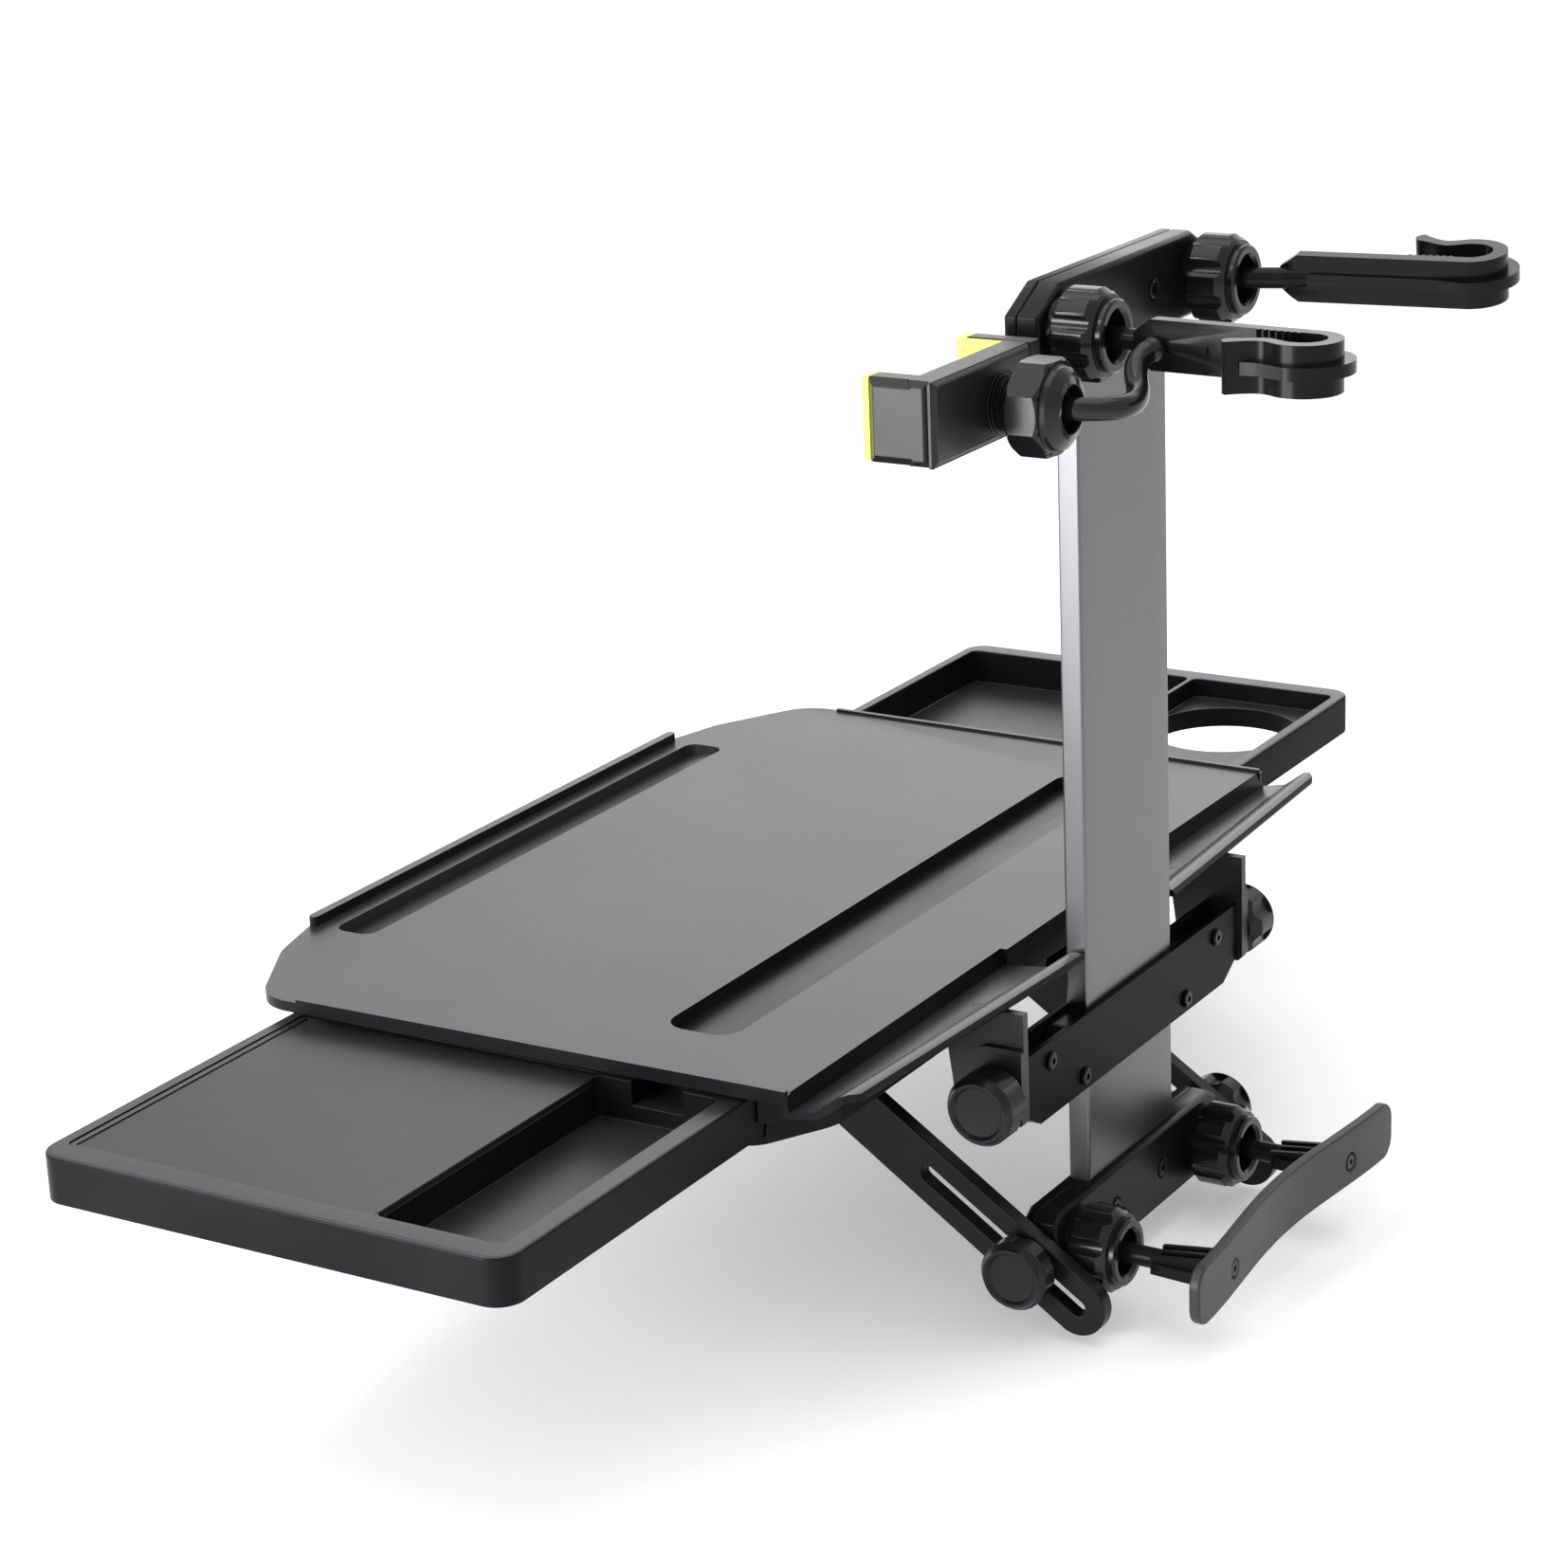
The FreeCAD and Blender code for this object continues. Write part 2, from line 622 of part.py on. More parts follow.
def hook_body():
    """The near hook about its ball, before it is turned to its place."""
    plate = Part.Face(hook_outline()).extrude(Vector(0, 0, HOOK_HEIGHT))
    plate.translate(Vector(0, 0, -HOOK_HEIGHT / 2))
    start = HOOK_PLATE_START
    slope = prism(
        [(-BIG, start - 1, HOOK_HEIGHT / 2 + 1), (-BIG, start + 9, HOOK_HEIGHT / 2 + 1),
         (-BIG, start - 1, HOOK_HEIGHT / 2 - 6)],
        (2 * BIG, 0, 0),
    )
    under = slope.mirror(Vector(0, 0, 0), Vector(0, 0, 1))
    plate = plate.cut([slope, under])
    stem = rod(STEM_RADIUS, (0, 0, 0), (HOOK_OFFSET * 0.55, start + 3, 0))
    root = Part.makeCone(STEM_RADIUS, HOOK_PLATE * 0.62, 16, Vector(HOOK_OFFSET * 0.55, start, 0),
                         Vector(HOOK_OFFSET * 0.45, 16, 0))
    ball = Part.makeSphere(BALL_RADIUS)
    spine_x = HOOK_OFFSET + HOOK_PLATE / 2 - 0.5
    spine = box((spine_x, spine_x + 1.5), (start + 10, HOOK_REACH - 45), (-1.1, 1.1))
    return fuse([plate, ball, stem, root, spine] + hook_teeth() + hook_rib())


def hook_place(side):
    """The turn and shift that carry a hook from its ball to its place."""
    yaw = -HOOK_YAW_NEAR if side == NEAR else HOOK_YAW_FAR
    roll = 0.0 if side == NEAR else HOOK_ROLL_FAR
    turn = FreeCAD.Rotation(Vector(0, 0, 1), yaw).multiply(FreeCAD.Rotation(Vector(0, 1, 0), roll))
    return FreeCAD.Placement(Vector(side * BALL_X, BALL_Y, HOOK_Z), turn)


def placed(shape, placement):
    """A copy of the shape with the placement baked in."""
    return shape.transformed(placement.toMatrix(), True)


def make_hook(side):
    """A headrest hook in its place."""
    return placed(on_side(hook_body(), side), hook_place(side))


def make_post_and_bars():
    """The fixed frame: post, both clamp bars, their screws and collets."""
    NODES["post"] = make_post()
    NODES["top_bar_front"] = front_bar_shell(TOP_BAR_MID_Z, 1, HOOK_Z)
    NODES["top_bar_rear"] = rear_bar_shell(TOP_BAR_MID_Z, 1)
    NODES["top_bar_screws"] = make_bar_screws(TOP_BAR_MID_Z)
    NODES["bottom_bar_front"] = front_bar_shell(BOTTOM_BAR_MID_Z, -1, PAD_ARM_Z)
    NODES["bottom_bar_rear"] = rear_bar_shell(BOTTOM_BAR_MID_Z, -1)
    NODES["bottom_bar_screws"] = make_bar_screws(BOTTOM_BAR_MID_Z)
    for name, side in (("near", NEAR), ("far", FAR)):
        NODES["top_collet_" + name] = make_collet(side * BALL_X, HOOK_Z)
        NODES["bottom_collet_" + name] = make_collet(side * BALL_X, PAD_ARM_Z)
        NODES["top_nut_" + name] = make_nut(side * BALL_X, HOOK_Z)
        NODES["bottom_nut_" + name] = make_nut(side * BALL_X, PAD_ARM_Z)
        NODES["hook_" + name] = make_hook(side)


def channel_section(x):
    """U section of the carriage channel, open at the top."""
    half = CARRIAGE_DEPTH / 2
    wall = CARRIAGE_WALL
    bottom = CARRIAGE_BOTTOM
    top = bottom + CARRIAGE_HEIGHT
    return [
        (x, -half, bottom),
        (x, half, bottom),
        (x, half, top),
        (x, half - wall, top),
        (x, half - wall, bottom + wall),
        (x, -half + wall, bottom + wall),
        (x, -half + wall, top),
        (x, -half, top),
    ]


def carriage_screw_points():
    """Where the four carriage screws bear on the channel's front wall."""
    y = CARRIAGE_DEPTH / 2 - 0.4
    points = []
    for side in (NEAR, FAR):
        for x, rise in (CARRIAGE_SCREW_OUTER, CARRIAGE_SCREW_INNER):
            points.append((side * x, y, CARRIAGE_BOTTOM + rise))
    return points


def make_channel():
    """Folded steel channel with a slot in its web for the post and cut-off lower corners."""
    half = CARRIAGE_LENGTH / 2
    channel = prism(channel_section(-half), (CARRIAGE_LENGTH, 0, 0))
    width = POST_WIDTH / 2 + 1.0
    depth = POST_DEPTH / 2 + POST_CLEARANCE
    channel = channel.cut(box((-width, width), (-depth, depth),
                              (CARRIAGE_BOTTOM - 1, CARRIAGE_BOTTOM + CARRIAGE_WALL + 1)))
    for side in (NEAR, FAR):
        corner = prism(
            [
                (side * half + side, -BIG, CARRIAGE_BOTTOM - 1),
                (side * half + side, -BIG, CARRIAGE_BOTTOM + CARRIAGE_CHAMFER * 0.55),
                (side * (half - CARRIAGE_CHAMFER), -BIG, CARRIAGE_BOTTOM - 1),
            ],
            (0, 2 * BIG, 0),
        )
        channel = channel.cut(corner)
    for point in carriage_screw_points():
        channel = channel.cut(screw_hole(point, (0, -1, 0), CARRIAGE_WALL + 1))
    return channel


def make_guide(side):
    """Moulded guide block that bears on the post's edge, threaded for the tilt stud at its outer end."""
    inner = POST_WIDTH / 2 + 0.3
    outer = CARRIAGE_LENGTH / 2 - 1.0
    half = CARRIAGE_DEPTH / 2 - CARRIAGE_WALL - 0.05
    bottom = CARRIAGE_BOTTOM + CARRIAGE_WALL + 0.05
    top = bottom + GUIDE_HEIGHT
    step_x = inner + 16
    points = [
        (inner, -half, bottom),
        (outer - CARRIAGE_CHAMFER * 0.5, -half, bottom),
        (outer, -half, bottom + CARRIAGE_CHAMFER * 0.5),
        (outer, -half, top - 2),
        (step_x + 6, -half, top - 2),
        (step_x, -half, top + 3),
        (inner, -half, top + 3),
    ]
    radii = [0, 0, 2, 1, 2, GUIDE_ROUND, 1]
    block = rounded_prism(points, radii, (0, 2 * half, 0))
    bore = rod(STUD_RADIUS + PIN_CLEARANCE, (outer - 22, 0, TILT_Z), (outer + 1, 0, TILT_Z))
    block = block.cut(bore)
    for x, y, z in carriage_screw_points():
        if x > 0:
            block = block.cut(rod(SCREW_RADIUS + SCREW_CLEARANCE, (x, y, z), (x, -half + 1.5, z)))
    pocket = box((inner + 14, inner + 28), (-half - 1, half - 2.5), (bottom + 13, top - 5))
    return on_side(block.cut(pocket), side)


def make_carriage_screws():
    """Four screws through the channel's front wall into the guide blocks."""
    length = CARRIAGE_DEPTH / 2 - 0.4 + CARRIAGE_DEPTH / 2 - CARRIAGE_WALL - 1.7
    return Part.makeCompound([machine_screw(point, (0, -1, 0), length) for point in carriage_screw_points()])


def knob(start_x, length, z):
    """Near-side clamp knob: skirt, six round flutes with flat lands, and a dished cap."""
    origin = (start_x, 0, z)
    cap = length - 3.2
    profile = [(0, 0), (0, KNOB_RADIUS - 4), (1.5, KNOB_RADIUS - 2.6), (4.5, KNOB_RADIUS), (cap, KNOB_RADIUS)]
    profile += [(cap + 1.2, KNOB_CAP_RADIUS + 2.2), (length, KNOB_CAP_RADIUS + 1.2),
                (length, KNOB_CAP_RADIUS)]
    profile += [(length - KNOB_DISH_DEPTH, KNOB_CAP_RADIUS - 1.2), (length - KNOB_DISH_DEPTH - 0.5, 0)]
    body = revolved(profile, origin, (1, 0, 0))
    pitch = KNOB_RADIUS + KNOB_FLUTE_RADIUS - 1.7
    flute_start = (start_x + 2.0, 0, z)
    body = lobed(body, KNOB_LOBES, KNOB_FLUTE_RADIUS, pitch, flute_start, (1, 0, 0), length - 6.0, 30.0)
    bore = rod(STUD_RADIUS + PIN_CLEARANCE, (start_x - 1, 0, z), (start_x + length - 5.4, 0, z))
    return body.cut(bore)


def make_tilt_stud(side):
    """Steel stud that joins guide block, ear and knob on the tilt axis."""
    start = CARRIAGE_LENGTH / 2 - 1.0 - 20
    stud = rod(STUD_RADIUS, (start, 0, TILT_Z), (BOSS_X + KNOB_LENGTH - 6, 0, TILT_Z))
    return on_side(stud, side)


def lip_y(x):
    """Line of the lip in plan: a little further forward at the post than at the ends."""
    share = (x - NOTCH_HALF_WIDTH) / (TRAY_HALF_WIDTH - NOTCH_HALF_WIDTH)
    return LIP_Y_AT_POST + (LIP_Y_AT_END - LIP_Y_AT_POST) * share


def trough_top(x):
    """Upper line of the trough and lip at one place along the tray, from the panel to the lip."""
    edge = TRAY_PANEL_REAR
    top = TRAY_TOP_Z
    low = top - TROUGH_DEPTH
    lip = lip_y(x)
    return [
        (x, edge - 6, top),
        (x, edge, top),
        (x, edge + 1.6, low),
        (x, lip - 18, low + 2.4),
        (x, lip - 15.5, low + 4.2),
        (x, lip - 8, top + LIP_RISE - 1.2),
        (x, lip - 4.5, top + LIP_RISE),
        (x, lip - 1.5, top + LIP_RISE - 0.4),
        (x, lip, top + LIP_RISE - 2.0),
    ]


def trough_under(x, gap=0.0):
    """Lower line of the trough and lip, from the lip back to the panel."""
    edge = TRAY_PANEL_REAR
    top = TRAY_TOP_Z - gap
    low = top - TROUGH_DEPTH - 2.8
    lip = lip_y(x)
    return [
        (x, lip - 0.8, top + LIP_RISE - 3.4),
        (x, lip - 5.5, top + LIP_RISE - 3.6),
        (x, lip - 13.5, low + 4.4),
        (x, lip - 16.5, low + 2.4),
        (x, edge + 0.5, low),
        (x, edge - 1.6, low + 1.6),
        (x, edge - 2.2, top - TRAY_SKIN),
        (x, edge - 6, top - TRAY_SKIN),
    ]


def make_trough(side):
    """Half of the rear trough and lip, from the notch at the post to the tray's end."""
    sections = []
    for x in (NOTCH_HALF_WIDTH, TRAY_CORNER_HALF_WIDTH + 4):
        sections.append(polygon(trough_top(x) + trough_under(x)))
    return on_side(Part.makeLoft(sections, True, True), side)


def tray_outline(inset, z):
    """Plan outline of the tray, rounded at its corners, drawn in by an inset."""
    half = TRAY_HALF_WIDTH - inset
    wide = TRAY_CORNER_HALF_WIDTH - inset
    user = TRAY_USER_EDGE + inset
    rear = LIP_Y_AT_POST + 2 - inset
    shoulder = TRAY_RAIL_HALF - 4
    right = [
        (shoulder, user, z),
        (shoulder + 34, user + 9, z),
        (wide, TRAY_CORNER_Y, z),
        (half, TRAY_PANEL_REAR - 8, z),
        (half, lip_y(TRAY_HALF_WIDTH) - inset, z),
        (NOTCH_HALF_WIDTH, rear - 2, z),
    ]
    left = [(-x, y, z) for x, y, z in reversed(right)]
    half_radii = [14, 34, 22, 60, 14, 1.5]
    return rounded_outline(right + left, half_radii + half_radii[::-1])


def recess_block(size, top, bottom, grow):
    """Block of a round-ended recess, wider all round by an amount."""
    half, user, rear = size
    radius = (rear - user) / 2 * 0.62 + grow
    return rounded_block((-half - grow, half + grow), (user - grow, rear + grow), (bottom, top), radius)


def make_tray_top():
    """Moulded top: panel, pen recess, slot, rolled skirt, side rims, stop rail, trough and lip."""
    plan = Part.Face(tray_outline(0, TRAY_TOP_Z - TRAY_SKIN)).extrude(Vector(0, 0, TRAY_SKIN))
    panel = plan.common(box((-BIG, BIG), (-BIG, TRAY_PANEL_REAR - 4), (0, BIG)))
    skirt = Part.Face(tray_outline(0, TRAY_TOP_Z - TRAY_SKIRT)).extrude(Vector(0, 0, TRAY_SKIRT))
    core = Part.Face(tray_outline(TRAY_SKIRT_WALL, TRAY_TOP_Z - TRAY_SKIRT - 1)).extrude(Vector(0, 0,
                                                                                                TRAY_SKIRT + 2))
    front_part = box((-BIG, BIG), (-BIG, TRAY_PANEL_REAR + 1), (0, BIG))
    skirt = skirt.cut(core).common(front_part)
    rims = Part.Face(tray_outline(0, TRAY_TOP_Z - 1)).extrude(Vector(0, 0, RIM_HEIGHT + 1))
    core = Part.Face(tray_outline(RIM_WIDTH, TRAY_TOP_Z - 2)).extrude(Vector(0, 0, RIM_HEIGHT + 4))
    rims = rims.cut(core).common(box((-BIG, BIG), (TRAY_CORNER_Y + 18, TRAY_PANEL_REAR), (0, BIG)))
    rail = rounded_block(
        (-TRAY_RAIL_HALF, TRAY_RAIL_HALF),
        (TRAY_USER_EDGE, TRAY_USER_EDGE + RAIL_WIDTH),
        (TRAY_TOP_Z - 1, TRAY_TOP_Z + RAIL_HEIGHT),
        RAIL_WIDTH / 2 - 0.1,
    )
    trim = Part.Face(tray_outline(0, TRAY_TOP_Z - 30)).extrude(Vector(0, 0, 60))
    troughs = [make_trough(side).common(trim) for side in (NEAR, FAR)]
    bridge = box(
        (-NOTCH_HALF_WIDTH, NOTCH_HALF_WIDTH),
        (TRAY_PANEL_REAR - 6, NOTCH_Y),
        (TRAY_TOP_Z - TRAY_SKIN, TRAY_TOP_Z),
    )
    apron = box(
        (-NOTCH_HALF_WIDTH, NOTCH_HALF_WIDTH),
        (NOTCH_Y - 2.5, NOTCH_Y),
        (TRAY_TOP_Z - TROUGH_DEPTH - 2.8, TRAY_TOP_Z),
    )
    floors = []
    hollows = []
    for size in (REAR_RECESS, USER_SLOT):
        floor_z = TRAY_TOP_Z - RECESS_DEPTH
        floors.append(recess_block(size, TRAY_TOP_Z, floor_z - RECESS_SKIN, RECESS_SKIN))
        hollows.append(recess_block(size, TRAY_TOP_Z + 1, floor_z, 0.0))
    top = fuse([panel, skirt, rims, rail, bridge, apron] + troughs + floors)
    sockets = [screw_hole(point, (0, 0, 1), BASE_SCREW_LENGTH + 0.3) for point in base_screw_points()]
    for side in (NEAR, FAR):
        sockets.append(on_side(rod(SCREW_RADIUS + SCREW_CLEARANCE, ear_screw_seat(-4),
                                   ear_screw_seat(5.4)), side))
    return top.cut(hollows + sockets)


def base_outline(inset, z):
    """Plan outline of the tray base."""
    half = BASE_HALF_WIDTH - inset
    rear = BASE_REAR_Y - inset
    user = BASE_USER_Y + inset
    right = [
        (BASE_HALF_WIDTH - 60, user, z),
        (half, user + 42, z),
        (half, rear - 19, z),
        (half - 34, rear, z),
    ]
    left = [(-x, y, z) for x, y, z in reversed(right)]
    radii = [20, 30, 14, 24]
    return rounded_outline(right + left, radii + radii[::-1])


def base_screw_points():
    """Screws that draw the base up to the top, from below."""
    points = []
    for x in (-BASE_SCREW_X, 0.0, BASE_SCREW_X):
        for y in (BASE_REAR_Y - 9.5, DRAWER_USER_Y - 7.0):
            points.append((x, y, BASE_BOTTOM_Z + SCREW_HEAD_HEIGHT + 0.4))
    return points


def make_tray_base():
    """Lower shell: stepped underside, the drawer bays right through it, strut lugs below."""
    top_z = TRAY_TOP_Z - TRAY_SKIN - SEAT_GAP
    lower = Part.Face(base_outline(BASE_STEP, BASE_BOTTOM_Z)).extrude(Vector(0, 0,
                                                                             BASE_STEP_Z - BASE_BOTTOM_Z))
    upper = Part.Face(base_outline(0, BASE_STEP_Z)).extrude(Vector(0, 0, top_z - BASE_STEP_Z))
    shell = fuse([lower, upper])
    gap = DRAWER_CLEARANCE
    bay_floor = BASE_BOTTOM_Z + BASE_FLOOR
    bay = box((-BIG, BIG), (DRAWER_USER_Y - gap, DRAWER_REAR_Y + gap), (bay_floor, BIG))
    shell = shell.cut(bay)
    divider = box((-2.5, 2.5), (DRAWER_USER_Y - 2, DRAWER_REAR_Y + 2), (bay_floor - 1, top_z))
    inner = (BASE_POCKET_START, BASE_RIB_X - BASE_RIB_HALF)
    outer = (BASE_RIB_X + BASE_RIB_HALF, BASE_SCREW_X - BASE_POCKET_START)
    pockets = []
    for side in (NEAR, FAR):
        for start, end in (inner, outer):
            x_range = sorted((side * start, side * end))
            pockets.append(box(x_range, (BASE_USER_Y + 3, DRAWER_USER_Y - gap - 2.6), (bay_floor, BIG)))
            pockets.append(box(x_range, (DRAWER_REAR_Y + gap + 2.6, BASE_REAR_Y - 3), (bay_floor, BIG)))
    shell = fuse([shell.cut(pockets), divider])
    lugs = []
    for side in (NEAR, FAR):
        for start in (STRUT_INNER_X - 0.3 - LUG_THICKNESS, STRUT_INNER_X + STRUT_THICKNESS + 0.3):
            lugs.append(on_side(strut_lug(start), side))
    shell = fuse([shell] + lugs)
    clear = [recess_block(size, BIG / 4, TRAY_TOP_Z - RECESS_DEPTH - RECESS_SKIN - SEAT_GAP,
                          RECESS_SKIN + SEAT_GAP)
             for size in (REAR_RECESS, USER_SLOT)]
    clear.append(box((-BIG, BIG), (TRAY_PANEL_REAR - 2.6, BIG), (TRAY_TOP_Z - TROUGH_DEPTH - 3.1, BIG)))
    holes = [screw_hole(point, (0, 0, 1), BASE_SCREW_LENGTH + 0.3) for point in base_screw_points()]
    return shell.cut(clear + holes)


def strut_lug(start_x):
    """Rounded lug below the base that carries the strut's pin."""
    radius = 8.0
    y, z = STRUT_PIVOT_Y, STRUT_PIVOT_Z
    top = BASE_BOTTOM_Z + 1
    profile = Part.Wire([
        Part.LineSegment(Vector(start_x, y - radius - 6, top), Vector(start_x, y - radius, z)).toShape(),
        Part.Arc(Vector(start_x, y - radius, z), Vector(start_x, y, z - radius),
                 Vector(start_x, y + radius, z)).toShape(),
        Part.LineSegment(Vector(start_x, y + radius, z), Vector(start_x, y + radius + 6, top)).toShape(),
        Part.LineSegment(Vector(start_x, y + radius + 6, top),
                         Vector(start_x, y - radius - 6, top)).toShape(),
    ])
    lug = Part.Face(profile).extrude(Vector(LUG_THICKNESS, 0, 0))
    return lug.cut(rod(PIN_RADIUS + PIN_CLEARANCE, (start_x - 1, y, z), (start_x + LUG_THICKNESS + 1, y, z)))


def make_strut_pin(side):
    """Headed pin through the base's two lugs and the strut."""
    y, z = STRUT_PIVOT_Y, STRUT_PIVOT_Z
    inner = STRUT_INNER_X - 0.3 - LUG_THICKNESS
    outer = STRUT_INNER_X + STRUT_THICKNESS + 0.3 + LUG_THICKNESS
    shank = rod(PIN_RADIUS, (inner - 1.5, y, z), (outer, y, z))
    head = rod(PIN_RADIUS + 1.8, (outer, y, z), (outer + 1.6, y, z))
    clip = rod(PIN_RADIUS + 1.4, (inner - 1.4, y, z), (inner - 0.2, y, z))
    return on_side(fuse([shank, head, clip]), side)


def make_strut(side):
    """Slotted strut from the base's lug down past the bottom bar's end."""
    y, z = STRUT_PIVOT_Y, STRUT_PIVOT_Z
    radius = STRUT_WIDTH / 2
    upper = radius - 0.6
    end = STRUT_SLOT_END - STRUT_SLOT_WIDTH / 2
    x = STRUT_INNER_X
    wire = Part.Wire([
        Part.LineSegment(Vector(x, y, z + upper), Vector(x, y + end, z + radius)).toShape(),
        Part.Arc(Vector(x, y + end, z + radius), Vector(x, y + end + radius, z),
                 Vector(x, y + end, z - radius)).toShape(),
        Part.LineSegment(Vector(x, y + end, z - radius), Vector(x, y, z - upper)).toShape(),
        Part.Arc(Vector(x, y, z - upper), Vector(x, y - upper, z), Vector(x, y, z + upper)).toShape(),
    ])
    bar = Part.Face(wire).extrude(Vector(STRUT_THICKNESS, 0, 0))
    slot = slot_block(x - 1, x + STRUT_THICKNESS + 1, STRUT_SLOT_WIDTH / 2, 0.0)
    bore = rod(PIN_RADIUS + PIN_CLEARANCE, (x - 1, y, z), (x + STRUT_THICKNESS + 1, y, z))
    bar = bar.cut([slot, bore])
    bar.rotate(Vector(0, y, z), Vector(1, 0, 0), -STRUT_ANGLE)
    return on_side(bar, side)


def slot_block(x0, x1, half_width, grow):
    """Round-ended block of the strut's slot, before the strut is turned."""
    y, z = STRUT_PIVOT_Y, STRUT_PIVOT_Z
    start = y + STRUT_SLOT_START - grow
    end = y + STRUT_SLOT_END + grow
    block = box((x0, x1), (start + half_width, end - half_width), (z - half_width, z + half_width))
    caps = [rod(half_width, (x0, at, z), (x1, at, z)) for at in (start + half_width, end - half_width)]
    return block.fuse(caps)


def make_strut_stud(side):
    """Shouldered stud from the bottom bar's end, waisted where it passes the strut's slot."""
    end_x = BAR_LENGTH / 2
    z = STRUT_BOLT_Z
    knob_x = STRUT_INNER_X + STRUT_THICKNESS + 0.3
    root = rod(STUD_RADIUS, (end_x - 16, 0, z), (end_x, 0, z))
    shoulder = rod(8.0, (end_x, 0, z), (STRUT_INNER_X - 0.3, 0, z))
    waist = rod(STRUT_WAIST_RADIUS, (STRUT_INNER_X - 0.4, 0, z), (knob_x + 0.2, 0, z))
    tip = rod(STUD_RADIUS, (knob_x + 0.1, 0, z), (knob_x + STRUT_KNOB_LENGTH - 7, 0, z))
    return on_side(fuse([root, shoulder, waist, tip]), side)


def make_ear(side):
    """Ear plate that hangs from the trough and turns on the tilt stud, with its fixing flange."""
    x0 = EAR_INNER_X
    bottom = EAR_BOTTOM_Z
    rear = EAR_REAR_Y
    front = EAR_FRONT_Y
    tall = [(x0, rear, bottom + 9), (x0, rear + 9, bottom), (x0, front - 2, bottom), (x0, front, bottom + 2)]
    tall += [(x0, front, TRAY_TOP_Z), (x0, rear - 6, TRAY_TOP_Z), (x0, rear - 3, TILT_Z + 18)]
    plate = prism(tall, (EAR_THICKNESS, 0, 0))
    boss_half = 13.0
    boss = [(EAR_OUTER_X, -boss_half, bottom + 9), (EAR_OUTER_X, -boss_half, TILT_Z + 21)]
    boss += [(EAR_OUTER_X, front, TILT_Z + 21), (EAR_OUTER_X, front, bottom + 2),
             (EAR_OUTER_X, -boss_half + 6, bottom + 2)]
    plate = fuse([plate, rounded_prism(boss, [4, 8, 2, 1, 4], (BOSS_THICKNESS, 0, 0))])
    flange = box((x0 - EAR_FLANGE, x0 + 1), (rear - 6, rear + 10), (80.0, BIG))
    under = under_trough_region(x0 - EAR_FLANGE - 1, BOSS_X + 1)
    shelf = under_trough_region(x0 - EAR_FLANGE - 1, BOSS_X + 1, -EAR_FLANGE_THICKNESS)
    flange = flange.common(under).cut(shelf)
    ear = fuse([plate.common(under), flange])
    bore = rod(STUD_RADIUS + THREAD_CLEARANCE, (x0 - 1, 0, TILT_Z), (BOSS_X + 1, 0, TILT_Z))
    ear = ear.cut(bore)
    ear = ear.cut(rod(SCREW_RADIUS + SCREW_CLEARANCE, ear_screw_seat(-8), ear_screw_seat(8)))
    ear = ear.cut(rod(SCREW_HEAD_RADIUS + 0.5, ear_screw_seat(-8), ear_screw_seat(0)))
    return on_side(ear, side)


def under_trough_region(x0, x1, lift=0.0):
    """Everything below the trough's underside between two places, moved up or down by a lift."""
    region = []
    for x in (x0, x1):
        line = [(px, py, pz + lift) for px, py, pz in trough_under(x, 0.1)]
        first = (x, line[0][1] + 20, line[0][2])
        last = (x, line[-1][1] - 40, line[-1][2])
        region.append(polygon([first] + line + [last, (x, last[1], 0), (x, first[1], 0)]))
    return Part.makeLoft(region, True, True)


def ear_screw_seat(rise):
    """A point on an ear screw's axis, measured from its flat seat under the flange."""
    y = EAR_REAR_Y + 3.0
    trough_bottom = TRAY_TOP_Z - TROUGH_DEPTH - 2.8
    slope = 2.4 / (LIP_Y_AT_POST - 16.5 - TRAY_PANEL_REAR - 0.5)
    flange_top = trough_bottom + slope * (y - TRAY_PANEL_REAR)
    return (EAR_INNER_X - EAR_FLANGE * 0.5, y, flange_top - EAR_FLANGE_THICKNESS + 0.5 + rise)


def make_ear_screws():
    """One screw up through each ear's flange into the trough."""
    screws = []
    for side in (NEAR, FAR):
        screws.append(on_side(machine_screw(ear_screw_seat(0.0), (0, 0, 1), EAR_FLANGE_THICKNESS + 2.6),
                              side))
    return Part.makeCompound(screws)


def make_base_screws():
    """Screws that hold the base to the tray top."""
    screws = [machine_screw(point, (0, 0, 1), BASE_SCREW_LENGTH) for point in base_screw_points()]
    return Part.makeCompound(screws)


def drawer_shell(side):
    """Outer block of a drawer on the near side, open: rounded at its outer corners."""
    return rounded_prism(
        [
            (DRAWER_INNER_X, DRAWER_USER_Y, DRAWER_BOTTOM_Z),
            (DRAWER_OUTER_X, DRAWER_USER_Y, DRAWER_BOTTOM_Z),
            (DRAWER_OUTER_X, DRAWER_REAR_Y, DRAWER_BOTTOM_Z),
            (DRAWER_INNER_X, DRAWER_REAR_Y, DRAWER_BOTTOM_Z),
        ],
        [1.5, DRAWER_CORNER, DRAWER_CORNER, 1.5],
        (0, 0, DRAWER_HEIGHT),
    )


def soften_top(shape, size):
    """Round the outline of a drawer's top."""
    rim = []
    for edge in shape.Edges:
        if abs(edge.BoundBox.ZMin - DRAWER_TOP_Z) < 0.01 and edge.BoundBox.ZLength < 0.01:
            rim.append(edge)
    return shape.makeFillet(size, rim)


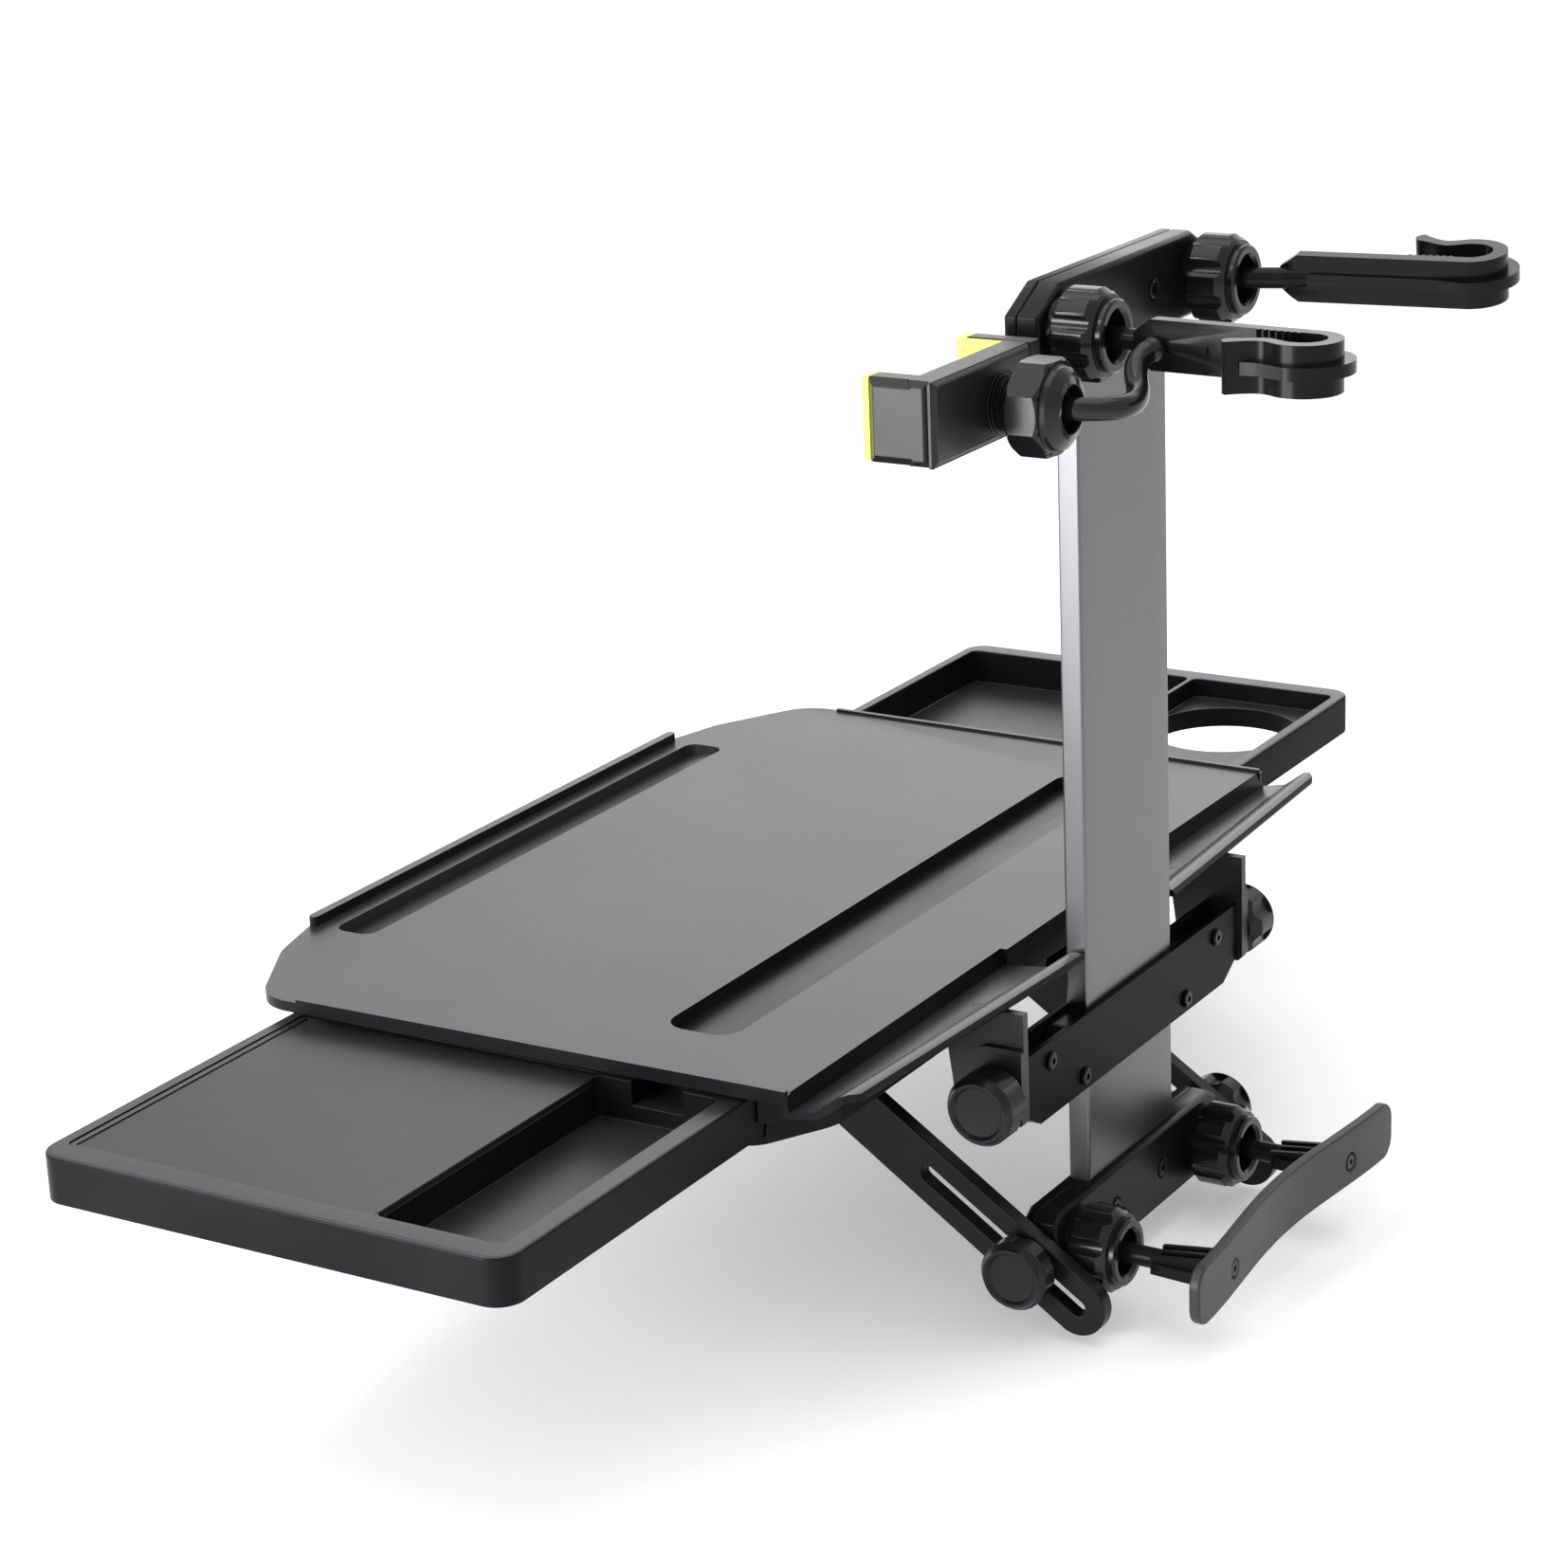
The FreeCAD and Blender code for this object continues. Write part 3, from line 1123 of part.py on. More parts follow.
def make_mouse_drawer():
    """Near drawer: rimmed board seat beside a pen compartment with a finger notch in its back wall."""
    shell = soften_top(drawer_shell(NEAR), 1.5)
    floor = DRAWER_BOTTOM_Z + DRAWER_FLOOR
    outer = DRAWER_OUTER_X - DRAWER_RIM_OUTER
    pen_rear = DRAWER_REAR_Y - DRAWER_RIM_REAR
    pen_user = pen_rear - PEN_WIDTH
    wall_x = DRAWER_INNER_X + 39.0
    pen = rounded_block((wall_x, outer), (pen_user, pen_rear), (floor, BIG / 4), 4.0)
    board_user = DRAWER_USER_Y + DRAWER_RIM_SIDE
    board_rear = pen_user - 3.0
    board_z = DRAWER_TOP_Z - BOARD_SINK - BOARD_THICKNESS
    seat = rounded_block((wall_x - 2, outer), (board_user, pen_user + 0.01), (board_z, BIG / 4), 3.0)
    under = box((wall_x + 2, outer - 4), (board_user + 4, board_rear - 3), (floor, board_z + 0.1))
    notch = box((wall_x - 20, wall_x + 1), (pen_user + 16, pen_user + 40), (floor + 7, BIG / 4))
    slope = prism(
        [(wall_x - 20, pen_user + 39, floor + 7), (wall_x - 20, pen_user + 50, BIG / 4),
         (wall_x - 20, pen_user + 39, BIG / 4)],
        (21, 0, 0),
    )
    tail = box((DRAWER_INNER_X + 3, wall_x - 22), (DRAWER_USER_Y + 8, DRAWER_REAR_Y - 8), (floor, BIG / 4))
    return shell.cut([pen, seat, under, notch, slope, tail])


def make_mouse_board():
    """Flat mousing board let into the near drawer, with a shallow line round its edge."""
    wall_x = DRAWER_INNER_X + 39.0
    outer = DRAWER_OUTER_X - DRAWER_RIM_OUTER
    fit = 0.25
    pen_user = DRAWER_REAR_Y - DRAWER_RIM_REAR - PEN_WIDTH
    board_user = DRAWER_USER_Y + DRAWER_RIM_SIDE
    z = DRAWER_TOP_Z - BOARD_SINK - BOARD_THICKNESS
    x_range = (wall_x - 2 + fit, outer - fit)
    y_range = (board_user + fit, pen_user - 0.3)
    board = rounded_block(x_range, y_range, (z, z + BOARD_THICKNESS), 2.6)
    groove = box(
        (x_range[0] + 2, x_range[1] - 2),
        (y_range[0] + 3.0, y_range[0] + 3.0 + BOARD_GROOVE),
        (z + BOARD_THICKNESS - 0.8, z + BOARD_THICKNESS + 1),
    )
    return board.cut(groove)


def make_cup_drawer():
    """Far drawer: shallow bin, and a cup place whose ring drops through the floor."""
    shell = soften_top(drawer_shell(FAR), 1.5)
    floor = DRAWER_BOTTOM_Z + DRAWER_FLOOR
    outer = DRAWER_OUTER_X - DRAWER_RIM_OUTER
    wall_x = DRAWER_INNER_X + 39.0
    rear = DRAWER_REAR_Y - DRAWER_RIM_SIDE
    user = DRAWER_USER_Y + DRAWER_RIM_SIDE
    divider = CUP_Y - CUP_RADIUS - CUP_WALL
    bin_block = rounded_block((wall_x, outer), (user, divider), (floor, BIG / 4), 4.0)
    guard = rod(CUP_RADIUS + CUP_WALL, (CUP_X, CUP_Y, floor - 1), (CUP_X, CUP_Y, BIG / 4))
    bin_block = bin_block.cut(guard)
    deck = rounded_block((wall_x, outer), (divider + 3.0, rear), (floor + 7.5, BIG / 4), 4.0)
    cup = rod(CUP_RADIUS, (CUP_X, CUP_Y, 0), (CUP_X, CUP_Y, BIG / 4))
    tail = box((DRAWER_INNER_X + 3, wall_x - 4), (DRAWER_USER_Y + 8, DRAWER_REAR_Y - 8), (floor, BIG / 4))
    return mirrored(shell.cut([bin_block, deck, cup, tail]))


def make_tray():
    """The carriage, ears, knobs, tray, drawers and struts."""
    NODES["carriage_channel"] = make_channel()
    NODES["carriage_screws"] = make_carriage_screws()
    NODES["tray_top"] = make_tray_top()
    NODES["tray_base"] = make_tray_base()
    NODES["base_screws"] = make_base_screws()
    NODES["ear_screws"] = make_ear_screws()
    NODES["mouse_drawer"] = make_mouse_drawer()
    NODES["mouse_board"] = make_mouse_board()
    NODES["cup_drawer"] = make_cup_drawer()
    strut_knob_x = STRUT_INNER_X + STRUT_THICKNESS + 0.3
    for name, side in (("near", NEAR), ("far", FAR)):
        NODES["carriage_guide_" + name] = make_guide(side)
        NODES["tilt_stud_" + name] = make_tilt_stud(side)
        NODES["tilt_knob_" + name] = on_side(knob(BOSS_X + 0.3, KNOB_LENGTH, TILT_Z), side)
        NODES["ear_" + name] = make_ear(side)
        NODES["strut_" + name] = make_strut(side)
        NODES["strut_pin_" + name] = make_strut_pin(side)
        NODES["strut_stud_" + name] = make_strut_stud(side)
        NODES["strut_knob_" + name] = on_side(knob(strut_knob_x, STRUT_KNOB_LENGTH, STRUT_BOLT_Z), side)


def pad_line(x):
    """Distance of the pad's front face from the post: a shallow wave, further out at its ends."""
    share = x / PAD_HALF_LENGTH
    return PAD_Y_CENTRE + (PAD_Y_END - PAD_Y_CENTRE) * (1 - math.cos(math.pi * share)) / 2


def make_pad():
    """Curved seat-back pad with rounded ends and a stiffening rib down its back."""
    steps = 10
    front = [Vector(x, pad_line(x), 0) for x in pad_stations(steps)]
    back = [Vector(x, pad_line(x) - PAD_THICKNESS, 0) for x in pad_stations(steps)]
    face_curve = Part.BSplineCurve()
    face_curve.interpolate(front)
    back_curve = Part.BSplineCurve()
    back_curve.interpolate(back[::-1])
    wire = Part.Wire([
        face_curve.toShape(),
        Part.LineSegment(front[-1], back[-1]).toShape(),
        back_curve.toShape(),
        Part.LineSegment(back[0], front[0]).toShape(),
    ])
    slab = Part.Face(wire).extrude(Vector(0, 0, PAD_HEIGHT))
    slab.translate(Vector(0, 0, PAD_TOP_Z - PAD_HEIGHT))
    top = PAD_TOP_Z
    low = PAD_TOP_Z - PAD_HEIGHT
    half = PAD_HALF_LENGTH
    silhouette = [(-half, 0, low), (half, 0, low), (half, 0, top), (-half, 0, top)]
    shadow = rounded_prism(silhouette, [9, 9, 9, 9], (0, BIG / 4, 0))
    return slab.common(shadow)


def pad_stations(steps):
    """Even stations along the pad."""
    return [-PAD_HALF_LENGTH + 2 * PAD_HALF_LENGTH * i / steps for i in range(steps + 1)]


def make_pad_arm(side):
    """Ball, stem and ribbed plate that carry the pad from the bottom bar."""
    ball = Part.makeSphere(BALL_RADIUS, Vector(BALL_X, BALL_Y, PAD_ARM_Z))
    stem = rod(STEM_RADIUS, (BALL_X, BALL_Y, PAD_ARM_Z), (BALL_X, PAD_ARM_PLATE_START + 4, PAD_ARM_Z))
    end_y = pad_line(BALL_X) - PAD_THICKNESS + 1.5
    flat = rounded_prism(
        [
            (BALL_X - 9, PAD_ARM_PLATE_START, PAD_ARM_Z - 2),
            (BALL_X + 9, PAD_ARM_PLATE_START, PAD_ARM_Z - 2),
            (BALL_X + 11, end_y, PAD_ARM_Z - 2),
            (BALL_X - 11, end_y, PAD_ARM_Z - 2),
        ],
        [7, 7, 0, 0],
        (0, 0, 4.0),
    )
    ribs = []
    for x in (BALL_X - 6, BALL_X, BALL_X + 6):
        points = [
            (x - 1, PAD_ARM_PLATE_START + 1, PAD_ARM_Z - 4),
            (x - 1, end_y, PAD_ARM_Z - 5.5),
            (x - 1, end_y, PAD_ARM_Z + 8),
            (x - 1, PAD_ARM_PLATE_START + 1, PAD_ARM_Z + 4),
        ]
        ribs.append(prism(points, (2, 0, 0)))
    arm = fuse([ball, stem, flat] + ribs)
    keep = box((-BIG, BIG), (-BIG, end_y - 1.5 - 0.05 - 1.2), (-BIG, BIG))
    return on_side(arm.common(keep), side)


def pad_screw_points():
    """Where the screw of each arm bears, sunk in the pad's front face."""
    y = pad_line(BALL_X) - SCREW_HEAD_HEIGHT - 0.2
    return [(side * BALL_X, y, PAD_ARM_Z + 3.0) for side in (NEAR, FAR)]


def make_pad_group():
    """The seat-back pad and its two arms."""
    holes = [screw_hole(point, (0, -1, 0), PAD_SCREW_LENGTH + 0.3) for point in pad_screw_points()]
    pad = make_pad()
    for name, side in (("near", NEAR), ("far", FAR)):
        arm = make_pad_arm(side)
        NODES["pad_arm_" + name] = arm.cut([pad] + holes)
    NODES["seat_pad"] = pad.cut(holes)
    screws = [machine_screw(point, (0, -1, 0), PAD_SCREW_LENGTH) for point in pad_screw_points()]
    NODES["pad_screws"] = Part.makeCompound(screws)


def bevelled_block(x_range, y_range, z_range, bevel, faces):
    """A block whose edges round the named outer faces are bevelled."""
    block = box(x_range, y_range, z_range)
    picked = []
    for edge in block.Edges:
        bounds = edge.BoundBox
        for axis, value in faces:
            low = (bounds.XMin, bounds.YMin, bounds.ZMin)[axis]
            high = (bounds.XMax, bounds.YMax, bounds.ZMax)[axis]
            if abs(low - value) < 0.01 and abs(high - value) < 0.01:
                picked.append(edge)
                break
    return block.makeChamfer(bevel, picked)


def phone_frame_block():
    """Outer form of the phone holder's fixed body: back bar and near jaw."""
    z_range = (PHONE_BOTTOM_Z, PHONE_BOTTOM_Z + PHONE_HEIGHT)
    near_face = PHONE_NEAR_X
    back = bevelled_block(
        (PHONE_FAR_X, near_face), (PHONE_REAR_Y, PHONE_FRONT_Y - PHONE_COVER), z_range, 2.4, [(0, near_face)]
    )
    jaw = bevelled_block(
        (near_face - JAW_THICKNESS, near_face),
        (PHONE_REAR_Y - JAW_DEPTH, PHONE_FRONT_Y - PHONE_COVER),
        z_range,
        JAW_BEVEL,
        [(0, near_face)],
    )
    return fuse([back, jaw])


def channel_ranges():
    """Size of the sliding jaw's runner channel in the body."""
    mid = PHONE_BOTTOM_Z + PHONE_HEIGHT / 2
    return (PHONE_REAR_Y + 2.4, PHONE_FRONT_Y - PHONE_COVER), (mid - 9.5, mid + 9.5)


def make_phone_body():
    """Body of the phone holder with the channel for the sliding jaw."""
    body = phone_frame_block()
    y_range, z_range = channel_ranges()
    body = body.cut(box((PHONE_FAR_X - 1, PHONE_NEAR_X - 2 * JAW_THICKNESS), (y_range[0], y_range[1] + 1), z_range))
    return body


def make_phone_cover():
    """Front cover over the runner channel, with the boss that the collet springs from."""
    z_range = (PHONE_BOTTOM_Z, PHONE_BOTTOM_Z + PHONE_HEIGHT)
    cover = bevelled_block(
        (PHONE_FAR_X, PHONE_NEAR_X), (PHONE_FRONT_Y - PHONE_COVER,
                                      PHONE_FRONT_Y), z_range, 1.8, [(1, PHONE_FRONT_Y)]
    )
    boss = rod(PHONE_COLLET_RADIUS + 1.5, (PHONE_NUT_X, PHONE_FRONT_Y - 0.5, PHONE_NUT_Z),
               (PHONE_NUT_X, PHONE_FRONT_Y + 1.5, PHONE_NUT_Z))
    return fuse([cover, boss])


def make_phone_jaw():
    """Sliding far jaw with its runner in the body's channel."""
    y_range, z_range = channel_ranges()
    fit = 0.3
    runner = box(
        (PHONE_FAR_X + 4, SPRING_START_X + 14),
        (y_range[0] + fit, y_range[1] - fit),
        (z_range[0] + fit, z_range[1] - fit),
    )
    pocket = rod(SPRING_RADIUS + 0.9, (SPRING_START_X, spring_y(), spring_z()),
                 (SPRING_START_X + 16, spring_y(), spring_z()))
    runner = runner.cut(pocket)
    jaw = bevelled_block(
        (PHONE_FAR_X - JAW_THICKNESS - 0.4, PHONE_FAR_X - 0.4),
        (PHONE_REAR_Y - JAW_DEPTH, PHONE_FRONT_Y - 1.0),
        (PHONE_BOTTOM_Z, PHONE_BOTTOM_Z + PHONE_HEIGHT),
        JAW_BEVEL,
        [(0, PHONE_FAR_X - JAW_THICKNESS - 0.4)],
    )
    neck = box((PHONE_FAR_X - 2, PHONE_FAR_X + 5), (y_range[0] + fit, y_range[1] - fit),
               (z_range[0] + fit, z_range[1] - fit))
    return fuse([jaw, neck, runner])


def spring_y():
    """Depth of the jaw spring's axis."""
    (y0, y1), _ = channel_ranges()
    return (y0 + y1) / 2


def spring_z():
    """Height of the jaw spring's axis."""
    return PHONE_BOTTOM_Z + PHONE_HEIGHT / 2


def make_liner(jaw_face_x, inward):
    """Soft yellow liner on a jaw's gripping face, folded round the jaw's edge on the user's side."""
    x_range = sorted((jaw_face_x, jaw_face_x + inward * LINER_THICKNESS))
    y_range = (PHONE_REAR_Y - JAW_DEPTH - LINER_FOLD, PHONE_REAR_Y)
    z_range = (PHONE_BOTTOM_Z + 0.5, PHONE_BOTTOM_Z + PHONE_HEIGHT - 0.5)
    fold_x = sorted((jaw_face_x + inward, jaw_face_x - inward * (JAW_THICKNESS - JAW_BEVEL + 0.4)))
    fold = box(fold_x, (y_range[0], y_range[0] + LINER_FOLD), z_range)
    liner = fuse([box(x_range, y_range, z_range), fold])
    grooves = []
    for i in range(5):
        z = z_range[0] + 5 + i * 5.4
        edge = jaw_face_x + inward * LINER_THICKNESS
        grooves.append(box(sorted((edge - inward * 0.7, edge + inward)),
                           (y_range[0] + 3, y_range[1] - 1.5), (z, z + 1.6)))
    return liner.cut(grooves)


def make_phone_collet():
    """Ribbed collet between the cover and the octagonal nut, with the ball seat."""
    origin = (PHONE_NUT_X, PHONE_FRONT_Y + 1.5, PHONE_NUT_Z)
    r = PHONE_COLLET_RADIUS
    profile = [(0, 0), (0, r), (2.2, r), (2.6, r - 1), (3.2, r - 1), (3.6, r), (5.8, r), (6.2, r - 1),
               (6.8, r - 1)]
    profile += [(7.2, r), (20, r), (23, r - 2), (23, 0)]
    body = revolved(profile, origin, (0, 1, 0))
    ball = Vector(PHONE_NUT_X, phone_ball_y(), PHONE_NUT_Z)
    seat = Part.makeSphere(BALL_RADIUS - 1 + BALL_CLEARANCE, ball)
    mouth = Part.makeCone(BALL_RADIUS * 0.6, BALL_RADIUS * 1.05, 16, ball, Vector(0, 1, 0))
    slit = box((PHONE_NUT_X - BIG, PHONE_NUT_X + BIG), (PHONE_FRONT_Y + 12, BIG),
               (PHONE_NUT_Z - 0.8, PHONE_NUT_Z + 0.8))
    upright = box((PHONE_NUT_X - 0.8, PHONE_NUT_X + 0.8), (PHONE_FRONT_Y + 12, BIG),
                  (PHONE_NUT_Z - BIG, PHONE_NUT_Z + BIG))
    return body.cut([seat, mouth, slit, upright])


def phone_ball_y():
    """Depth of the phone arm's ball centre."""
    return PHONE_FRONT_Y + 17.5


def make_phone_nut():
    """Octagonal clamp nut with a domed, ringed front."""
    start = PHONE_FRONT_Y + 9.5
    length = 14.0
    radius = PHONE_NUT_RADIUS
    corners = []
    for i in range(PHONE_NUT_SIDES):
        angle = math.radians(22.5 + 360.0 * i / PHONE_NUT_SIDES)
        corners.append((PHONE_NUT_X + radius * math.cos(angle), start,
                        PHONE_NUT_Z + radius * math.sin(angle)))
    barrel = prism(corners, (0, length, 0))
    turned = revolved([(0, 0), (0, radius - 1.6), (2, radius + 0.4), (length - 2, radius + 0.4),
                       (length, radius - 1.8), (length, 0)],
                      (PHONE_NUT_X, start, PHONE_NUT_Z), (0, 1, 0))
    barrel = barrel.common(turned)
    dome = revolved([(0, 0), (0, 16.2), (2.4, 15.8), (4.6, 13.2), (6.0, 9.5), (6.0, 0)],
                    (PHONE_NUT_X, start + length - 0.01, PHONE_NUT_Z), (0, 1, 0))
    body = fuse([barrel, dome])
    thread = PHONE_COLLET_RADIUS + THREAD_CLEARANCE
    collet_end = PHONE_FRONT_Y + 1.5 + 23 + 0.2 - start
    hollow = [(-1, 0), (-1, thread), (collet_end - 3, thread), (collet_end, thread - 2), (collet_end, 8.2)]
    hollow += [(length + 7, 9.4), (length + 7, 0)]
    return body.cut(revolved(hollow, (PHONE_NUT_X, start, PHONE_NUT_Z), (0, 1, 0)))


def arm_route():
    """Centre line of the phone arm, from its foot on the near hook's plate to the phone ball."""
    foot = hook_place(NEAR).multVec(Vector(HOOK_OFFSET + HOOK_PLATE / 2 + 2.2, HOOK_PLATE_START + 10, -1))
    return [
        foot,
        foot + Vector(11, -2, -5),
        Vector(foot.x + 22, foot.y + 4, PHONE_NUT_Z + 2),
        Vector(PHONE_NUT_X - 16, foot.y + 8, PHONE_NUT_Z),
        Vector(PHONE_NUT_X - 1, phone_ball_y() + 13, PHONE_NUT_Z),
        Vector(PHONE_NUT_X, phone_ball_y(), PHONE_NUT_Z),
    ]


def make_phone_arm():
    """Bent round arm that carries the phone holder, with a flat foot screwed to the hook."""
    route = arm_route()
    path = Part.BSplineCurve()
    path.interpolate(route[:-1])
    wire = Part.Wire([path.toShape()])
    ring = Part.makeCircle(PHONE_ARM_RADIUS, route[0], path.tangent(path.FirstParameter)[0])
    sweep = wire.makePipeShell([Part.Wire([ring])], True, False)
    last = rod(PHONE_ARM_RADIUS, tuple(route[-2]), tuple(route[-1]))
    knuckle = Part.makeSphere(PHONE_ARM_RADIUS, route[-2])
    ball = Part.makeSphere(BALL_RADIUS - 1, route[-1])
    foot = Part.makeSphere(PHONE_ARM_RADIUS + 0.6, route[0])
    arm = fuse([sweep, last, knuckle, ball, foot])
    hook = NODES["hook_near"]
    return arm.cut(hook)


def make_jaw_spring():
    """Coil spring that pulls the sliding jaw back, between the runner and the body."""
    start_x = SPRING_START_X + 0.4
    end_x = PHONE_NEAR_X - 22.3
    height = end_x - start_x - 2 * SPRING_WIRE
    helix = Part.makeHelix(height / SPRING_TURNS, height, SPRING_RADIUS)
    ring = Part.makeCircle(SPRING_WIRE, Vector(SPRING_RADIUS, 0, 0), Vector(0, 1, 0))
    coil = Part.Wire(helix.Edges).makePipeShell([Part.Wire([ring])], True, True)
    coil.rotate(Vector(0, 0, 0), Vector(0, 1, 0), 90)
    coil.translate(Vector(start_x + SPRING_WIRE, spring_y(), spring_z()))
    return coil


def make_phone_holder():
    """Phone arm, collet, nut, body, cover, sliding jaw, liners and spring."""
    NODES["phone_arm"] = make_phone_arm()
    NODES["phone_body"] = make_phone_body()
    NODES["phone_cover"] = make_phone_cover()
    NODES["phone_collet"] = make_phone_collet()
    NODES["phone_nut"] = make_phone_nut()
    NODES["phone_jaw"] = make_phone_jaw()
    NODES["jaw_liner_near"] = make_liner(PHONE_NEAR_X - JAW_THICKNESS, -1)
    NODES["jaw_liner_far"] = make_liner(PHONE_FAR_X - 0.4, 1)
    NODES["jaw_spring"] = make_jaw_spring()


def write_nodes():
    """Write every piece, carried to the reference point between the headrest rods."""
    os.makedirs("parts", exist_ok=True)
    for name, shape in NODES.items():
        piece = shape.copy()
        piece.translate(-REFERENCE)
        solids = piece.Solids
        result = solids[0] if len(solids) == 1 else Part.makeCompound(solids)
        result.exportStep(os.path.join("parts", name + ".step"))
        print(name, len(solids), round(piece.Volume), result.isValid())


make_post_and_bars()
make_tray()
make_pad_group()
make_phone_holder()
write_nodes()
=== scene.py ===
"""Looks of a car laptop tray that hangs from the two headrest rods of a front seat.

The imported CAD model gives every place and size. Each rigid piece gets a softened, dressed copy here, and
small repeated details are grown with Geometry Nodes. All sizes are in metres, in the CAD model's frame.
"""

import json
import logging
import math
from dataclasses import dataclass, field
from enum import Enum
from typing import Callable, Iterable, Sequence

import bmesh
import bpy
from mathutils import Matrix, Vector
from mathutils.bvhtree import BVHTree

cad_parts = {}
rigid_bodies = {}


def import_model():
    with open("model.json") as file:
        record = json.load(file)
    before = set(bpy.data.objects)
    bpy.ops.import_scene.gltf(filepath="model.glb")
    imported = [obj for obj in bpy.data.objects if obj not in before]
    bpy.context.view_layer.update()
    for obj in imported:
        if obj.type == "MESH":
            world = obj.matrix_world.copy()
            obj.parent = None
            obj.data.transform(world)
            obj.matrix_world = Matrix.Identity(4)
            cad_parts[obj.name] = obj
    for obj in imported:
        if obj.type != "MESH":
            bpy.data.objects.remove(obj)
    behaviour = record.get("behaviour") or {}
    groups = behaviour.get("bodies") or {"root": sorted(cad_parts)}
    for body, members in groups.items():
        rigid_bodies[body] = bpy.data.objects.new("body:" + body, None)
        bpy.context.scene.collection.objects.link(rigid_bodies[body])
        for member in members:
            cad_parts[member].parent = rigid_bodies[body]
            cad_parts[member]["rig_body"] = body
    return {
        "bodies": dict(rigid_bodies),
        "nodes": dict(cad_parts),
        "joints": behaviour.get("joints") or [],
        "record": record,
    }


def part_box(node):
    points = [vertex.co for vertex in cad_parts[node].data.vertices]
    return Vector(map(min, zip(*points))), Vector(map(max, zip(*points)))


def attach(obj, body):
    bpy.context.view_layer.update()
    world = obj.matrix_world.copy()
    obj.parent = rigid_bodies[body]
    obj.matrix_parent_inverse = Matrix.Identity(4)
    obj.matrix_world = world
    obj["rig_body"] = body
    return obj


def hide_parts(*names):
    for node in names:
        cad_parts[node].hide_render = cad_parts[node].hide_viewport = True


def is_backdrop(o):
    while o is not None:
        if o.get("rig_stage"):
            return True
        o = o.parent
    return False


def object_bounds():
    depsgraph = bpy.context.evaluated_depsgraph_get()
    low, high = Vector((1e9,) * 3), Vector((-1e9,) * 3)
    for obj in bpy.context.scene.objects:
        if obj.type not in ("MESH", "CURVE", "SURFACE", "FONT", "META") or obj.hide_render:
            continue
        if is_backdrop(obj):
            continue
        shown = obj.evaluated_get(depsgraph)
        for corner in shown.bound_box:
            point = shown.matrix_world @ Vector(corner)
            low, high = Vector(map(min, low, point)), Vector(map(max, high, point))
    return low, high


LOG = logging.getLogger("laptop_tray")
MM = 0.001

# Mesh limits: corners closer than WELD are one, faces that turn less than FLAT_TURN are one, and edges that
# turn more than SHARP_TURN, or DETAIL_SHARP_TURN on grown details, are shaded sharp.
WELD = 2e-6
FLAT_TURN = math.radians(0.6)
SHARP_TURN = math.radians(32)
DETAIL_SHARP_TURN = math.radians(35)

# Edges that turn more than BEVEL_TURN are rounded, with the first of BEVEL_SHARES of the wanted radius that
# keeps every corner within STRAY_SHARE of it from the CAD surface.
BEVEL_TURN = math.radians(38)
BEVEL_SHARES = (1.0, 0.75, 0.5, 0.35, 0.2)
STRAY_SHARE = 0.75

# Turns that point a detail's own +Z to the front seat, to the floor and along the jaw's travel.
TO_SEAT = (-math.pi / 2, 0.0, 0.0)
TO_FLOOR = (math.pi, 0.0, 0.0)
ALONG_JAW = (0.0, math.pi / 2, 0.0)

Y_AXIS, Z_AXIS = 1, 2
HEAD_HEIGHT = 2.2 * MM
WIRE_RADIUS = 0.55 * MM
WHITE = (1.0, 1.0, 1.0, 1.0)

Colour = tuple[float, float, float]
Place = tuple[float, float, float]


class Side(Enum):
    """The two sides of the tray: near is the mouse drawer's."""

    NEAR = "near"
    FAR = "far"


class Grain(Enum):
    """How the mould or the mill left a surface, as the size of its grain per metre."""

    FINE = 2600.0
    MEDIUM = 1500.0
    COARSE = 800.0


# Shader node groups


def new_group(
    name: str, setting: str, default: float, outputs: Sequence[str]
) -> tuple[bpy.types.NodeTree, bpy.types.Node, bpy.types.Node]:
    """Make an empty shader node group that reads a place and one setting.

    Args:
        name: Name of the group.
        setting: Name of its number input.
        default: The setting's value before a material changes it.
        outputs: Names of its number outputs.

    Returns:
        The group, its input node and its output node.
    """
    group = bpy.data.node_groups.new(name, "ShaderNodeTree")
    group.interface.new_socket("Place", in_out="INPUT", socket_type="NodeSocketVector")
    socket = group.interface.new_socket(setting, in_out="INPUT", socket_type="NodeSocketFloat")
    socket.default_value = default
    for label in outputs:
        group.interface.new_socket(label, in_out="OUTPUT", socket_type="NodeSocketFloat")
    return group, group.nodes.new("NodeGroupInput"), group.nodes.new("NodeGroupOutput")


def fill(tree: bpy.types.NodeTree, socket: bpy.types.NodeSocket, value: object) -> None:
    """Join an input socket to a value.

    Args:
        tree: The socket's tree.
        socket: The input socket.
        value: Another socket, or a plain value.
    """
    if isinstance(value, bpy.types.NodeSocket):
        tree.links.new(value, socket)
    else:
        socket.default_value = value


def maths(tree: bpy.types.NodeTree, operation: str, *values: object) -> bpy.types.NodeSocket:
    """Place a math node and return its result.

    Args:
        tree: The tree that gets the node.
        operation: Name of the operation.
        values: Numbers or sockets, in the order of the node's inputs.

    Returns:
        The node's output socket.
    """
    node = tree.nodes.new("ShaderNodeMath")
    node.operation = operation
    for socket, value in zip(node.inputs, values):
        fill(tree, socket, value)
    return node.outputs[0]


